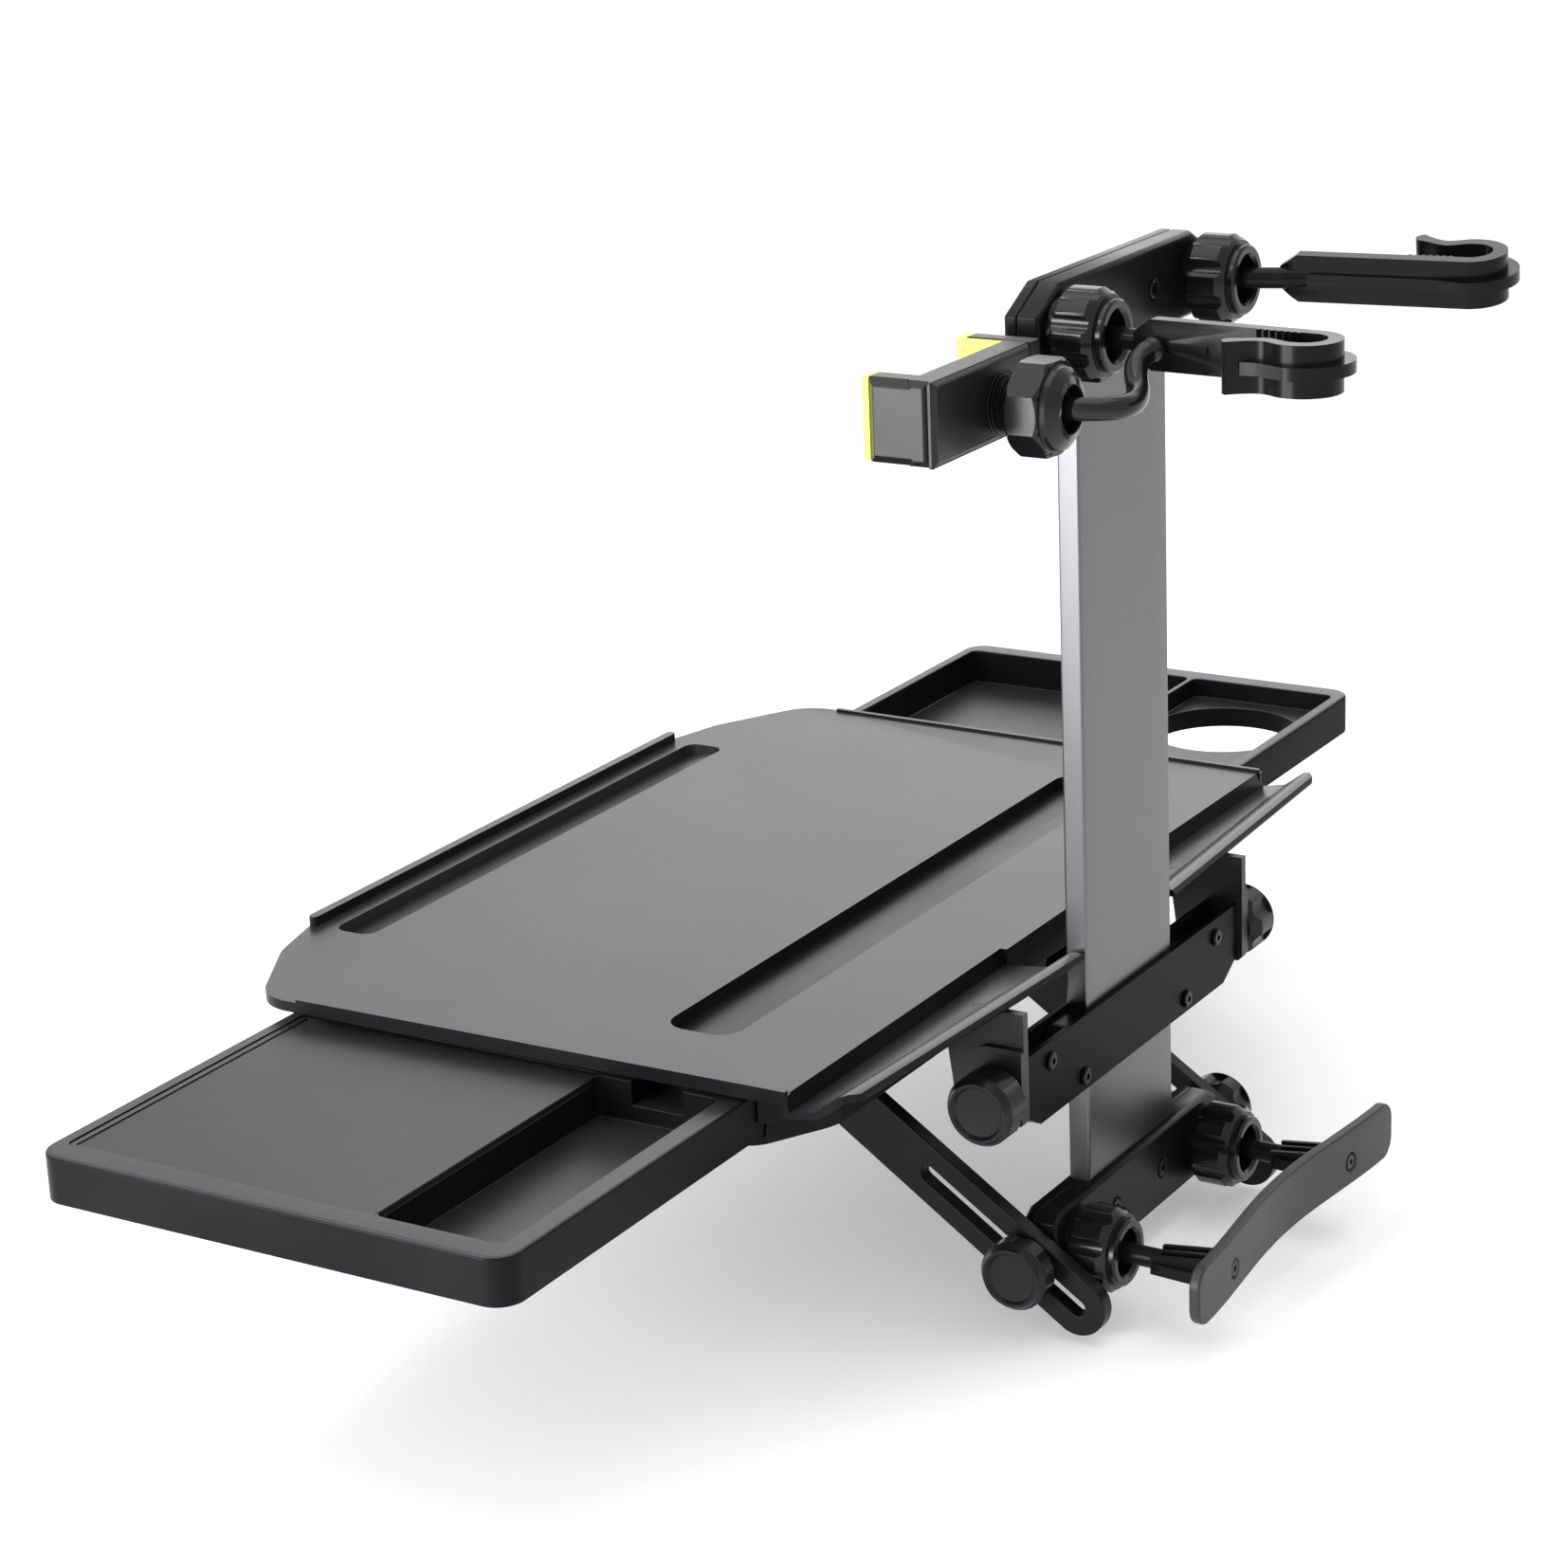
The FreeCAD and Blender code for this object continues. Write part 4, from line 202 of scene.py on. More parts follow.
def noise(
    tree: bpy.types.NodeTree, vector: bpy.types.NodeSocket, scale: object, detail: float
) -> bpy.types.NodeSocket:
    """Place a noise texture and return its value.

    Args:
        tree: The tree that gets the node.
        vector: Coordinates that the noise reads.
        scale: Features per metre, a number or a socket.
        detail: Octaves of finer noise.

    Returns:
        The noise value, from 0 to 1.
    """
    node = tree.nodes.new("ShaderNodeTexNoise")
    node.inputs["Detail"].default_value = detail
    tree.links.new(vector, node.inputs["Vector"])
    fill(tree, node.inputs["Scale"], scale)
    return node.outputs["Fac"]


def moulded_grain_group() -> bpy.types.NodeTree:
    """Spark-eroded mould grain: small raised cells with finer noise between them."""
    fine_height = 0.5
    group, start, end = new_group("moulded_grain", "Cells", Grain.MEDIUM.value, ("Height", "Speckle"))
    cells = group.nodes.new("ShaderNodeTexVoronoi")
    cells.feature = "SMOOTH_F1"
    cells.inputs["Smoothness"].default_value = 0.6
    group.links.new(start.outputs["Place"], cells.inputs["Vector"])
    group.links.new(start.outputs["Cells"], cells.inputs["Scale"])
    fine = noise(group, start.outputs["Place"], start.outputs["Cells"], 2.0)
    height = maths(group, "MULTIPLY_ADD", fine, fine_height, cells.outputs["Distance"])
    group.links.new(height, end.inputs["Height"])
    group.links.new(fine, end.inputs["Speckle"])
    return group


def handling_marks_group() -> bpy.types.NodeTree:
    """Slow changes of gloss where hands and dust have been, with a few fine rubs across them."""
    clouds_per_metre = 11.0
    rub_share = 0.35
    middle = 0.68
    dust_from, dust_blend = 0.5, 0.1
    group, start, end = new_group("handling_marks", "Amount", 0.1, ("Gloss change", "Dust"))
    clouds = noise(group, start.outputs["Place"], clouds_per_metre, 4.0)
    stretch = group.nodes.new("ShaderNodeMapping")
    stretch.inputs["Scale"].default_value = (14.0, 260.0, 90.0)
    stretch.inputs["Rotation"].default_value = (0.0, 0.0, 0.6)
    group.links.new(start.outputs["Place"], stretch.inputs["Vector"])
    rubs = noise(group, stretch.outputs["Vector"], 1.0, 2.0)
    mixed = maths(group, "MULTIPLY_ADD", rubs, rub_share, clouds)
    centred = maths(group, "SUBTRACT", mixed, middle)
    gloss = maths(group, "MULTIPLY", centred, start.outputs["Amount"])
    group.links.new(gloss, end.inputs["Gloss change"])
    dust = maths(group, "SMOOTH_MAX", maths(group, "SUBTRACT", clouds, dust_from), 0.0, dust_blend)
    group.links.new(dust, end.inputs["Dust"])
    return group


class ShaderLibrary:
    """Builds each shared shader group once and hands it out by name."""

    makers: dict[str, Callable[[], bpy.types.NodeTree]] = {
        "moulded_grain": moulded_grain_group,
        "handling_marks": handling_marks_group,
    }

    def place(
        self, tree: bpy.types.NodeTree, name: str, place: bpy.types.NodeSocket, **values: float
    ) -> bpy.types.Node:
        """Put a group into a material.

        Args:
            tree: The material's tree.
            name: Name of the group.
            place: Coordinates that the group reads.
            values: Values of the group's other inputs.

        Returns:
            The group's node.
        """
        group = bpy.data.node_groups.get(name) or self.makers[name]()
        node = tree.nodes.new("ShaderNodeGroup")
        node.node_tree = group
        tree.links.new(place, node.inputs["Place"])
        for label, value in values.items():
            node.inputs[label].default_value = value
        return node


# Finishes

COAT_ROUGHNESS = 0.18
GRAIN_HEIGHT = 0.0002
SHADES = ((0.3, 0.86), (0.7, 1.12))
DUST_COLOUR = (0.42, 0.42, 0.43, 1.0)

# Indexes of the share and the two colours among a colour Mix node's inputs, and of its colour output.
MIX_SHARE, MIX_FIRST, MIX_SECOND, MIX_RESULT = 0, 6, 7, 2


@dataclass(frozen=True)
class Finish:
    """One surface finish: its colour, gloss and grain."""

    name: str
    slot: str
    colour: Colour
    roughness: float
    grain: Grain
    grain_depth: float
    marks: float = 0.22
    metallic: float = 0.0
    coat: float = 0.0
    specular: float = 0.5
    dust: float = 0.04

    def material(self, library: ShaderLibrary) -> bpy.types.Material:
        """Build the finish's material once and return it.

        Args:
            library: Source of the shared shader groups.

        Returns:
            The material.
        """
        made = bpy.data.materials.get(self.name)
        if made:
            return made
        made = bpy.data.materials.new(self.name)
        made.use_nodes = True
        tree = made.node_tree
        shader = tree.nodes["Principled BSDF"]
        shader.inputs["Metallic"].default_value = self.metallic
        shader.inputs["Coat Weight"].default_value = self.coat
        shader.inputs["Coat Roughness"].default_value = COAT_ROUGHNESS
        shader.inputs["Specular IOR Level"].default_value = self.specular
        place = tree.nodes.new("ShaderNodeTexCoord").outputs["Object"]
        marks = library.place(tree, "handling_marks", place, Amount=self.marks)
        relief = library.place(tree, "moulded_grain", place, Cells=self.grain.value)
        self.colour_nodes(tree, shader, relief.outputs["Speckle"], marks.outputs["Dust"])
        rough = maths(tree, "ADD", marks.outputs["Gloss change"], self.roughness)
        tree.links.new(rough, shader.inputs["Roughness"])
        bump = tree.nodes.new("ShaderNodeBump")
        bump.inputs["Strength"].default_value = self.grain_depth
        bump.inputs["Distance"].default_value = GRAIN_HEIGHT
        tree.links.new(relief.outputs["Height"], bump.inputs["Height"])
        tree.links.new(bump.outputs["Normal"], shader.inputs["Normal"])
        return made

    def colour_nodes(
        self,
        tree: bpy.types.NodeTree,
        shader: bpy.types.Node,
        variation: bpy.types.NodeSocket,
        dust: bpy.types.NodeSocket,
    ) -> None:
        """Join the finish's colour, its small variation and a breath of dust.

        Args:
            tree: The material's tree.
            shader: The Principled BSDF.
            variation: Fine variation, from 0 to 1.
            dust: Where dust lies.
        """
        ramp = tree.nodes.new("ShaderNodeValToRGB")
        for element, (position, gain) in zip(ramp.color_ramp.elements, SHADES):
            element.position = position
            element.color = (*(min(1.0, channel * gain) for channel in self.colour), 1.0)
        tree.links.new(variation, ramp.inputs["Fac"])
        mix = tree.nodes.new("ShaderNodeMix")
        mix.data_type = "RGBA"
        mix.inputs[MIX_SECOND].default_value = DUST_COLOUR
        tree.links.new(maths(tree, "MULTIPLY", dust, self.dust), mix.inputs[MIX_SHARE])
        tree.links.new(ramp.outputs["Color"], mix.inputs[MIX_FIRST])
        tree.links.new(mix.outputs[MIX_RESULT], shader.inputs["Base Color"])


BLACK: Colour = (0.005, 0.005, 0.006)


@dataclass(frozen=True)
class Finishes:
    """Every finish of the tray: name, record slot, colour, roughness, grain, grain depth and what differs."""

    post: Finish = Finish(
        "anodised_post", "post", (0.140, 0.136, 0.145), 0.34, Grain.FINE, 0.02, marks=0.06, metallic=1.0
    )
    bar: Finish = Finish("bar_plastic_black", "bar_plastic", BLACK, 0.28, Grain.FINE, 0.05, specular=0.10)
    nut: Finish = Finish(
        "nut_plastic_black", "nut_plastic", BLACK, 0.20, Grain.FINE, 0.03, coat=0.12, specular=0.25
    )
    hook: Finish = Finish(
        "hook_plastic_black", "nut_plastic", (0.004, 0.004, 0.005), 0.22, Grain.FINE, 0.03, specular=0.13
    )
    ear: Finish = Finish(
        "ear_plastic_dark", "tray_plastic", (0.010, 0.010, 0.011), 0.36, Grain.MEDIUM, 0.08, specular=0.30
    )
    steel: Finish = Finish(
        "channel_satin_paint", "channel_steel", (0.003, 0.0035, 0.005), 0.30, Grain.FINE, 0.04, specular=0.035
    )
    # Upward faces of the tray top: a lighter copy of its plastic, painted light.
    panel: Finish = Finish(
        "tray_top_painted_light", "tray_plastic", (0.017, 0.017, 0.018), 0.31, Grain.MEDIUM, 0.06, marks=0.08
    )
    base: Finish = Finish(
        "base_plastic_dark", "tray_plastic", BLACK, 0.36, Grain.MEDIUM, 0.08, specular=0.08
    )
    drawer: Finish = Finish(
        "drawer_plastic_dark", "drawer_plastic", BLACK, 0.34, Grain.MEDIUM, 0.07, specular=0.08
    )
    cup: Finish = Finish(
        "cup_drawer_plastic", "drawer_plastic", BLACK, 0.34, Grain.MEDIUM, 0.07, specular=0.02
    )
    # Walls of the pale recess: lighter than the tray's other sides, painted light.
    wall_painted_light: Finish = Finish(
        "recess_wall_painted_light", "tray_plastic", (0.022, 0.022, 0.023), 0.36, Grain.MEDIUM, 0.06, specular=0.30
    )
    # Upward faces of the drawers: lighter than their sides, painted light.
    inside: Finish = Finish(
        "drawer_top_painted_light", "drawer_plastic", (0.016, 0.016, 0.017), 0.36, Grain.MEDIUM, 0.06
    )
    # Sides of the tray top: a darker copy of its plastic, painted shade beside the lit tops.
    side: Finish = Finish(
        "tray_edge_painted_shade", "tray_plastic", (0.006, 0.006, 0.007), 0.36, Grain.MEDIUM, 0.07, specular=0.10
    )
    # Floor of the dark recess: darker than the tray's tops, painted shade.
    pan: Finish = Finish(
        "recess_floor_painted_shade", "tray_plastic", (0.007, 0.007, 0.008), 0.30, Grain.MEDIUM, 0.06, specular=0.16
    )
    board: Finish = Finish(
        "mousing_board", "board", (0.012, 0.012, 0.013), 0.36, Grain.FINE, 0.04, marks=0.12, specular=0.4
    )
    strut: Finish = Finish(
        "strut_plastic_black", "strut_plastic", (0.006, 0.006, 0.007), 0.30, Grain.MEDIUM, 0.06, specular=0.16
    )
    screw: Finish = Finish(
        "screw_blackened_steel", "screw_steel", (0.022, 0.022, 0.024), 0.34, Grain.FINE, 0.02, metallic=1.0
    )
    capped: Finish = Finish(
        "pad_screw_rubber_coat", "screw_steel", (0.028, 0.028, 0.030), 0.42, Grain.FINE, 0.04, specular=0.22
    )
    rubber: Finish = Finish(
        "pad_soft_rubber", "pad_rubber", (0.032, 0.032, 0.034), 0.42, Grain.COARSE, 0.10, specular=0.22
    )
    liner: Finish = Finish(
        "liner_yellow_rubber", "liner_rubber", (0.88, 0.90, 0.10), 0.5, Grain.MEDIUM, 0.06, dust=0.0
    )
    knob: Finish = Finish(
        "knob_cap_dark", "nut_plastic", (0.007, 0.007, 0.009), 0.28, Grain.FINE, 0.03, specular=0.22
    )
    holder: Finish = Finish(
        "holder_plastic_black", "nut_plastic", (0.009, 0.009, 0.010), 0.34, Grain.FINE, 0.03, specular=0.3
    )


# Mesh helpers


def added(name: str, data: bpy.types.ID) -> bpy.types.Object:
    """Add an object to the scene.

    Args:
        name: Name of the object.
        data: Its mesh, light or camera.

    Returns:
        The new object, at the origin.
    """
    thing = bpy.data.objects.new(name, data)
    bpy.context.scene.collection.objects.link(thing)
    return thing


def shade(shape: bmesh.types.BMesh, sharp_turn: float) -> None:
    """Smooth a mesh's faces and keep its sharp edges.

    Args:
        shape: The mesh, open for editing.
        sharp_turn: Edges that turn by this or more, in radians, stay sharp.
    """
    for face in shape.faces:
        face.smooth = True
    for edge in shape.edges:
        edge.smooth = edge.calc_face_angle(0.0) < sharp_turn


def merged_copy(node: bpy.types.Object, name: str) -> bpy.types.Object:
    """Copy a CAD node's mesh, weld its loose triangles and join its flat faces.

    Args:
        node: The CAD node.
        name: Name of the copy.

    Returns:
        The new object, at the origin.
    """
    mesh = bpy.data.meshes.new(name)
    shape = bmesh.new()
    shape.from_mesh(node.data)
    bmesh.ops.remove_doubles(shape, verts=shape.verts[:], dist=WELD)
    bmesh.ops.dissolve_limit(
        shape,
        angle_limit=FLAT_TURN,
        verts=shape.verts[:],
        edges=shape.edges[:],
        use_dissolve_boundaries=False,
    )
    shade(shape, SHARP_TURN)
    shape.to_mesh(mesh)
    shape.free()
    return added(name, mesh)


def baked(source: bpy.types.Object, name: str) -> bpy.types.Object:
    """Turn an object with live modifiers into one plain mesh.

    Args:
        source: The object; it is removed.
        name: Name of the result.

    Returns:
        The plain object, at the origin.
    """
    bpy.context.view_layer.update()
    depsgraph = bpy.context.evaluated_depsgraph_get()
    mesh = bpy.data.meshes.new_from_object(source.evaluated_get(depsgraph))
    bpy.data.objects.remove(source, do_unlink=True)
    mesh.name = name
    return added(name, mesh)


def stray(piece: bpy.types.Object, surface: BVHTree) -> float:
    """Greatest distance of a piece's corners, with its modifiers, from a surface.

    Args:
        piece: The piece.
        surface: The surface.

    Returns:
        The distance, in metres.
    """
    bpy.context.view_layer.update()
    live = piece.evaluated_get(bpy.context.evaluated_depsgraph_get())
    reach = max(surface.find_nearest(vert.co)[3] for vert in live.to_mesh().vertices)
    live.to_mesh_clear()
    return reach


def round_edges(piece: bpy.types.Object, radius: float) -> float:
    """Round a piece's sharp edges as far as the result stays close to its surface.

    Args:
        piece: The piece; it gets a bevel modifier.
        radius: Wanted edge radius, in metres.

    Returns:
        The radius that was kept, in metres, or 0.0 if none was; the bevel is then clamped.
    """
    mesh = piece.data
    corners = [vert.co for vert in mesh.vertices]
    surface = BVHTree.FromPolygons(corners, [face.vertices for face in mesh.polygons])
    bevel = piece.modifiers.new("edge radius", "BEVEL")
    bevel.segments = 2
    bevel.limit_method = "ANGLE"
    bevel.angle_limit = BEVEL_TURN
    bevel.harden_normals = True
    bevel.use_clamp_overlap = False
    bevel.miter_outer = "MITER_ARC"
    for share in BEVEL_SHARES:
        bevel.width = radius * share
        if stray(piece, surface) <= bevel.width * STRAY_SHARE:
            return bevel.width
    bevel.use_clamp_overlap = True
    return 0.0


@dataclass(frozen=True)
class Pan:
    """A recess whose floor slopes, lower at the user's side and higher towards the front seat.

    Attributes:
        half_length: Half its length along the tray, in metres, like all its measures.
        user: Place of its edge at the user's side.
        rear: Place of its edge towards the front seat.
        pale: Whether its walls get painted light and its floor the tops' finish, not a painted-shade floor.
        floor: Height of its level floor in the CAD model.
        fall: How much the floor goes down at the user's side.
        rise: How much the floor goes up towards the front seat.
        above: How far over the highest floor its faces still reach.
        flat: How far from the level floor a corner may lie and still belong to it.
    """

    half_length: float
    user: float
    rear: float
    pale: bool = False
    floor: float = -0.274
    fall: float = 1.2 * MM
    rise: float = 3.4 * MM
    above: float = 0.4 * MM
    flat: float = 0.05 * MM

    def holds(self, place: Vector) -> bool:
        """Whether a place lies in the recess, on or below the tray's surface."""
        low = place.z < self.floor + self.rise + self.above
        return low and abs(place.x) <= self.half_length and self.user <= place.y <= self.rear

    def tilt(self, mesh: bpy.types.Mesh) -> None:
        """Slope the recess's floor in a copy of the tray.

        Args:
            mesh: Mesh of the copy.
        """
        for vert in mesh.vertices:
            place = vert.co
            if self.holds(place) and abs(place.z - self.floor) < self.flat:
                share = (place.y - self.user) / (self.rear - self.user)
                place.z += self.rise * share - self.fall * (1.0 - share)


PANS = {"tray_top": (Pan(0.1781, -0.2391, -0.2059), Pan(0.1451, -0.4301, -0.4099, pale=True))}

# Material slots of a piece with upward faces: a lighter copy for the tops as painted light, painted shade on
# the dark recess's floor and painted light on the pale recess's walls; and how steep such a face may be, as
# its normal's height.
LIT_TOP_SLOT, PAN_SHADE_SLOT, WALL_LIGHT_SLOT = 1, 2, 3
FACES_UP = 0.7


@dataclass
class Workshop:
    """The loaded frame with what every sub-assembly needs to dress its pieces."""

    frame: dict
    finishes: Finishes = field(default_factory=Finishes)
    library: ShaderLibrary = field(default_factory=ShaderLibrary)

    def body(self, node: str) -> str:
        """Name of the body that a CAD node belongs to."""
        return self.frame["nodes"][node]["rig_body"]

    def dress(self, piece: bpy.types.Object, finish: Finish) -> None:
        """Give a piece its material.

        Args:
            piece: The piece.
            finish: Its finish.
        """
        piece.data.materials.clear()
        piece.data.materials.append(finish.material(self.library))

    def paint_light_on_tops(self, piece: bpy.types.Object, lit_upper: Finish, pans: Sequence[Pan]) -> None:
        """Paint light on upward faces, shade on dark recess floors and light on pale recess walls.

        Args:
            piece: The dressed piece.
            lit_upper: Lighter finish of the upward faces, painted light.
            pans: The piece's recesses.
        """
        for finish in (lit_upper, self.finishes.pan, self.finishes.wall_painted_light):
            piece.data.materials.append(finish.material(self.library))
        for face in piece.data.polygons:
            pan = next((pan for pan in pans if pan.holds(face.center)), None)
            if face.normal.z > FACES_UP:
                face.material_index = PAN_SHADE_SLOT if pan and not pan.pale else LIT_TOP_SLOT
            elif pan and pan.pale:
                face.material_index = WALL_LIGHT_SLOT

    def soften(self, node: str, finish: Finish, radius: float, lit_upper: Finish | None = None) -> None:
        """Replace a CAD node by a copy whose sharp edges are slightly rounded.

        Args:
            node: The CAD node.
            finish: The copy's finish.
            radius: Edge radius, in millimetres.
            lit_upper: Lighter finish of the faces that look up, as painted light, if they get one.
        """
        copy = merged_copy(self.frame["nodes"][node], node + "_rough")
        pans = PANS.get(node, ())
        for pan in pans:
            pan.tilt(copy.data)
        kept = round_edges(copy, radius * MM)
        piece = baked(copy, node + "_dressed")
        self.dress(piece, finish)
        if lit_upper:
            self.paint_light_on_tops(piece, lit_upper, pans)
        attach(piece, self.body(node))
        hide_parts(node)
        LOG.info("%s: %d faces, edge radius %.2f mm", piece.name, len(piece.data.polygons), kept / MM)


# Geometry Nodes


class DetailTree:
    """A Geometry Nodes tree with named sizes, ending in Realize Instances and Set Material."""

    def __init__(self, name: str, sizes: dict[str, float]) -> None:
        """Start the tree.

        Args:
            name: Name of the tree.
            sizes: Named sizes with their default values.
        """
        self.tree = bpy.data.node_groups.new(name, "GeometryNodeTree")
        face = self.tree.interface
        face.new_socket("Places", in_out="INPUT", socket_type="NodeSocketGeometry")
        for label, value in sizes.items():
            socket = face.new_socket(label, in_out="INPUT", socket_type="NodeSocketFloat")
            socket.default_value = value
        face.new_socket("Turn", in_out="INPUT", socket_type="NodeSocketVector")
        face.new_socket("Finish", in_out="INPUT", socket_type="NodeSocketMaterial")
        face.new_socket("Geometry", in_out="OUTPUT", socket_type="NodeSocketGeometry")
        self.start = self.tree.nodes.new("NodeGroupInput")
        self.end = self.tree.nodes.new("NodeGroupOutput")

    def node(self, kind: str, **links: object) -> bpy.types.Node:
        """Place a node and fill its inputs.

        Args:
            kind: Blender's name of the node type.
            links: Socket, number or vector for each input, by name with spaces as underscores.

        Returns:
            The node.
        """
        made = self.tree.nodes.new(kind)
        for label, value in links.items():
            fill(self.tree, made.inputs[label.replace("_", " ")], value)
        return made

    def size(self, label: str) -> bpy.types.NodeSocket:
        """The socket of a named size."""
        return self.start.outputs[label]

    def result(self, operation: str, *values: object) -> bpy.types.NodeSocket:
        """Result of a math node.

        Args:
            operation: Name of the operation.
            values: Numbers or sockets, in the order of the node's inputs.

        Returns:
            The result's socket.
        """
        return maths(self.tree, operation, *values)

    def lifted(self, geometry: bpy.types.NodeSocket, height: bpy.types.NodeSocket) -> bpy.types.NodeSocket:
        """Move geometry up by a height.

        Args:
            geometry: The geometry.
            height: The height, as a socket.

        Returns:
            The moved geometry.
        """
        offset = self.node("ShaderNodeCombineXYZ", Z=height)
        moved = self.node("GeometryNodeTransform", Geometry=geometry, Translation=offset.outputs[0])
        return moved.outputs[0]

    def finish(self, piece: bpy.types.NodeSocket) -> bpy.types.NodeTree:
        """Set the piece on every place, realize it and give it its material.

        Args:
            piece: The geometry that repeats.

        Returns:
            The finished tree.
        """
        turn = self.node("FunctionNodeEulerToRotation", Euler=self.size("Turn"))
        places, finish = self.size("Places"), self.size("Finish")
        spread = self.node(
            "GeometryNodeInstanceOnPoints", Points=places, Instance=piece, Rotation=turn.outputs[0]
        )
        whole = self.node("GeometryNodeRealizeInstances", Geometry=spread.outputs[0])
        dressed = self.node("GeometryNodeSetMaterial", Geometry=whole.outputs[0], Material=finish)
        self.tree.links.new(dressed.outputs[0], self.end.inputs[0])
        return self.tree


def screw_tree() -> bpy.types.NodeTree:
    """Pan-head screws with a hexagon socket, one on each place, heads along their own +Z."""
    head_sides, shank_sides, socket_sides = 40, 24, 6
    rounded_share = 0.25
    sizes = {"Head radius": 3.6 * MM, "Head height": HEAD_HEIGHT, "Shank radius": 2.0 * MM}
    build = DetailTree("socket_screws", {**sizes, "Shank length": 12 * MM, "Socket radius": 1.5 * MM})
    radius, height = build.size("Head radius"), build.size("Head height")
    edge = build.result("MULTIPLY", height, rounded_share)
    low = build.result("SUBTRACT", height, edge)
    disc = build.node("GeometryNodeMeshCylinder", Vertices=head_sides, Radius=radius, Depth=low)
    disc_at = build.lifted(disc.outputs["Mesh"], build.result("MULTIPLY", low, 0.5))
    crown = build.node(
        "GeometryNodeMeshCone",
        Vertices=head_sides,
        Radius_Top=build.result("SUBTRACT", radius, edge),
        Radius_Bottom=radius,
        Depth=edge,
    )
    crown_at = build.lifted(crown.outputs["Mesh"], low)
    socket = build.node(
        "GeometryNodeMeshCylinder", Vertices=socket_sides, Radius=build.size("Socket radius"), Depth=height
    )
    socket_at = build.lifted(socket.outputs["Mesh"], height)
    head = build.tree.nodes.new("GeometryNodeMeshBoolean")
    head.operation = "UNION"
    build.tree.links.new(disc_at, head.inputs["Mesh 2"])
    build.tree.links.new(crown_at, head.inputs["Mesh 2"])
    bored = build.tree.nodes.new("GeometryNodeMeshBoolean")
    bored.operation = "DIFFERENCE"
    build.tree.links.new(head.outputs["Mesh"], bored.inputs["Mesh 1"])
    build.tree.links.new(socket_at, bored.inputs["Mesh 2"])
    length = build.size("Shank length")
    shank = build.node(
        "GeometryNodeMeshCylinder", Vertices=shank_sides, Radius=build.size("Shank radius"), Depth=length
    )
    shank_at = build.lifted(shank.outputs["Mesh"], build.result("MULTIPLY", length, -0.5))
    joined = build.tree.nodes.new("GeometryNodeJoinGeometry")
    build.tree.links.new(bored.outputs["Mesh"], joined.inputs[0])
    build.tree.links.new(shank_at, joined.inputs[0])
    return build.finish(joined.outputs[0])


def coil_tree() -> bpy.types.NodeTree:
    """A coil spring along its own +Z, one on each place."""
    sizes = {"Coil radius": 2.6 * MM, "Wire radius": WIRE_RADIUS, "Length": 30 * MM, "Turns": 9.0}
    build = DetailTree("coil_spring", sizes)
    spiral = build.node(
        "GeometryNodeCurveSpiral",
        Resolution=24,
        Rotations=build.size("Turns"),
        Start_Radius=build.size("Coil radius"),
        End_Radius=build.size("Coil radius"),
        Height=build.size("Length"),
    )
    ring = build.node("GeometryNodeCurvePrimitiveCircle", Resolution=10, Radius=build.size("Wire radius"))
    wire = build.node("GeometryNodeCurveToMesh", Curve=spiral.outputs[0], Profile_Curve=ring.outputs[0])
    wire.inputs["Fill Caps"].default_value = True
    return build.finish(wire.outputs[0])


def dimple_tree() -> bpy.types.NodeTree:
    """Small round dimple marks, one on each place, facing their own +Z."""
    build = DetailTree("dimple_marks", {"Mark radius": 0.75 * MM, "Mark height": 0.12 * MM})
    radius, height = build.size("Mark radius"), build.size("Mark height")
    mark = build.node("GeometryNodeMeshCylinder", Vertices=16, Radius=radius, Depth=height)
    return build.finish(mark.outputs["Mesh"])


class Detail(Enum):
    """The repeated details, each with the function that builds its tree."""

    SCREWS = ("socket_screws", screw_tree)
    COIL = ("coil_spring", coil_tree)
    DIMPLES = ("dimple_marks", dimple_tree)

    def grow(
        self,
        name: str,
        places: Sequence[Vector],
        sizes: dict[str, float],
        turn: Sequence[float],
        material: bpy.types.Material,
    ) -> bpy.types.Object:
        """Grow the detail on its places and bake it to a plain mesh.

        Args:
            name: Name of the result.
            places: Where the details stand.
            sizes: Values of the tree's named sizes.
            turn: Turn of each detail, as Euler angles in radians.
            material: Finish of the detail.

        Returns:
            The plain object, at the origin.
        """
        tree = bpy.data.node_groups.get(self.value[0]) or self.value[1]()
        mesh = bpy.data.meshes.new(name + "_places")
        mesh.from_pydata([tuple(place) for place in places], [], [])
        host = added(name + "_places", mesh)
        grown = host.modifiers.new(self.value[0], "NODES")
        grown.node_group = tree
        inputs = [item for item in tree.interface.items_tree if item.in_out == "INPUT"]
        sockets = {item.name: item.identifier for item in inputs}
        for label, value in sizes.items():
            grown[sockets[label]] = value
        grown[sockets["Turn"]] = tuple(turn)
        grown[sockets["Finish"]] = material
        result = baked(host, name)
        shape = bmesh.new()
        shape.from_mesh(result.data)
        shade(shape, DETAIL_SHARP_TURN)
        shape.to_mesh(result.data)
        shape.free()
        return result


def islands(node: bpy.types.Object) -> list[list[Vector]]:
    """Corner points of each separate solid in a CAD node.

    Args:
        node: The CAD node.

    Returns:
        One list of points for each solid.
    """
    shape = bmesh.new()
    shape.from_mesh(node.data)
    bmesh.ops.remove_doubles(shape, verts=shape.verts[:], dist=WELD)
    left = set(shape.verts)
    found = []
    while left:
        start = left.pop()
        stack, group = [start], [start.co.copy()]
        while stack:
            for edge in stack.pop().link_edges:
                for vert in edge.verts:
                    if vert in left:
                        left.remove(vert)
                        stack.append(vert)
                        group.append(vert.co.copy())
        found.append(group)
    shape.free()
    return found


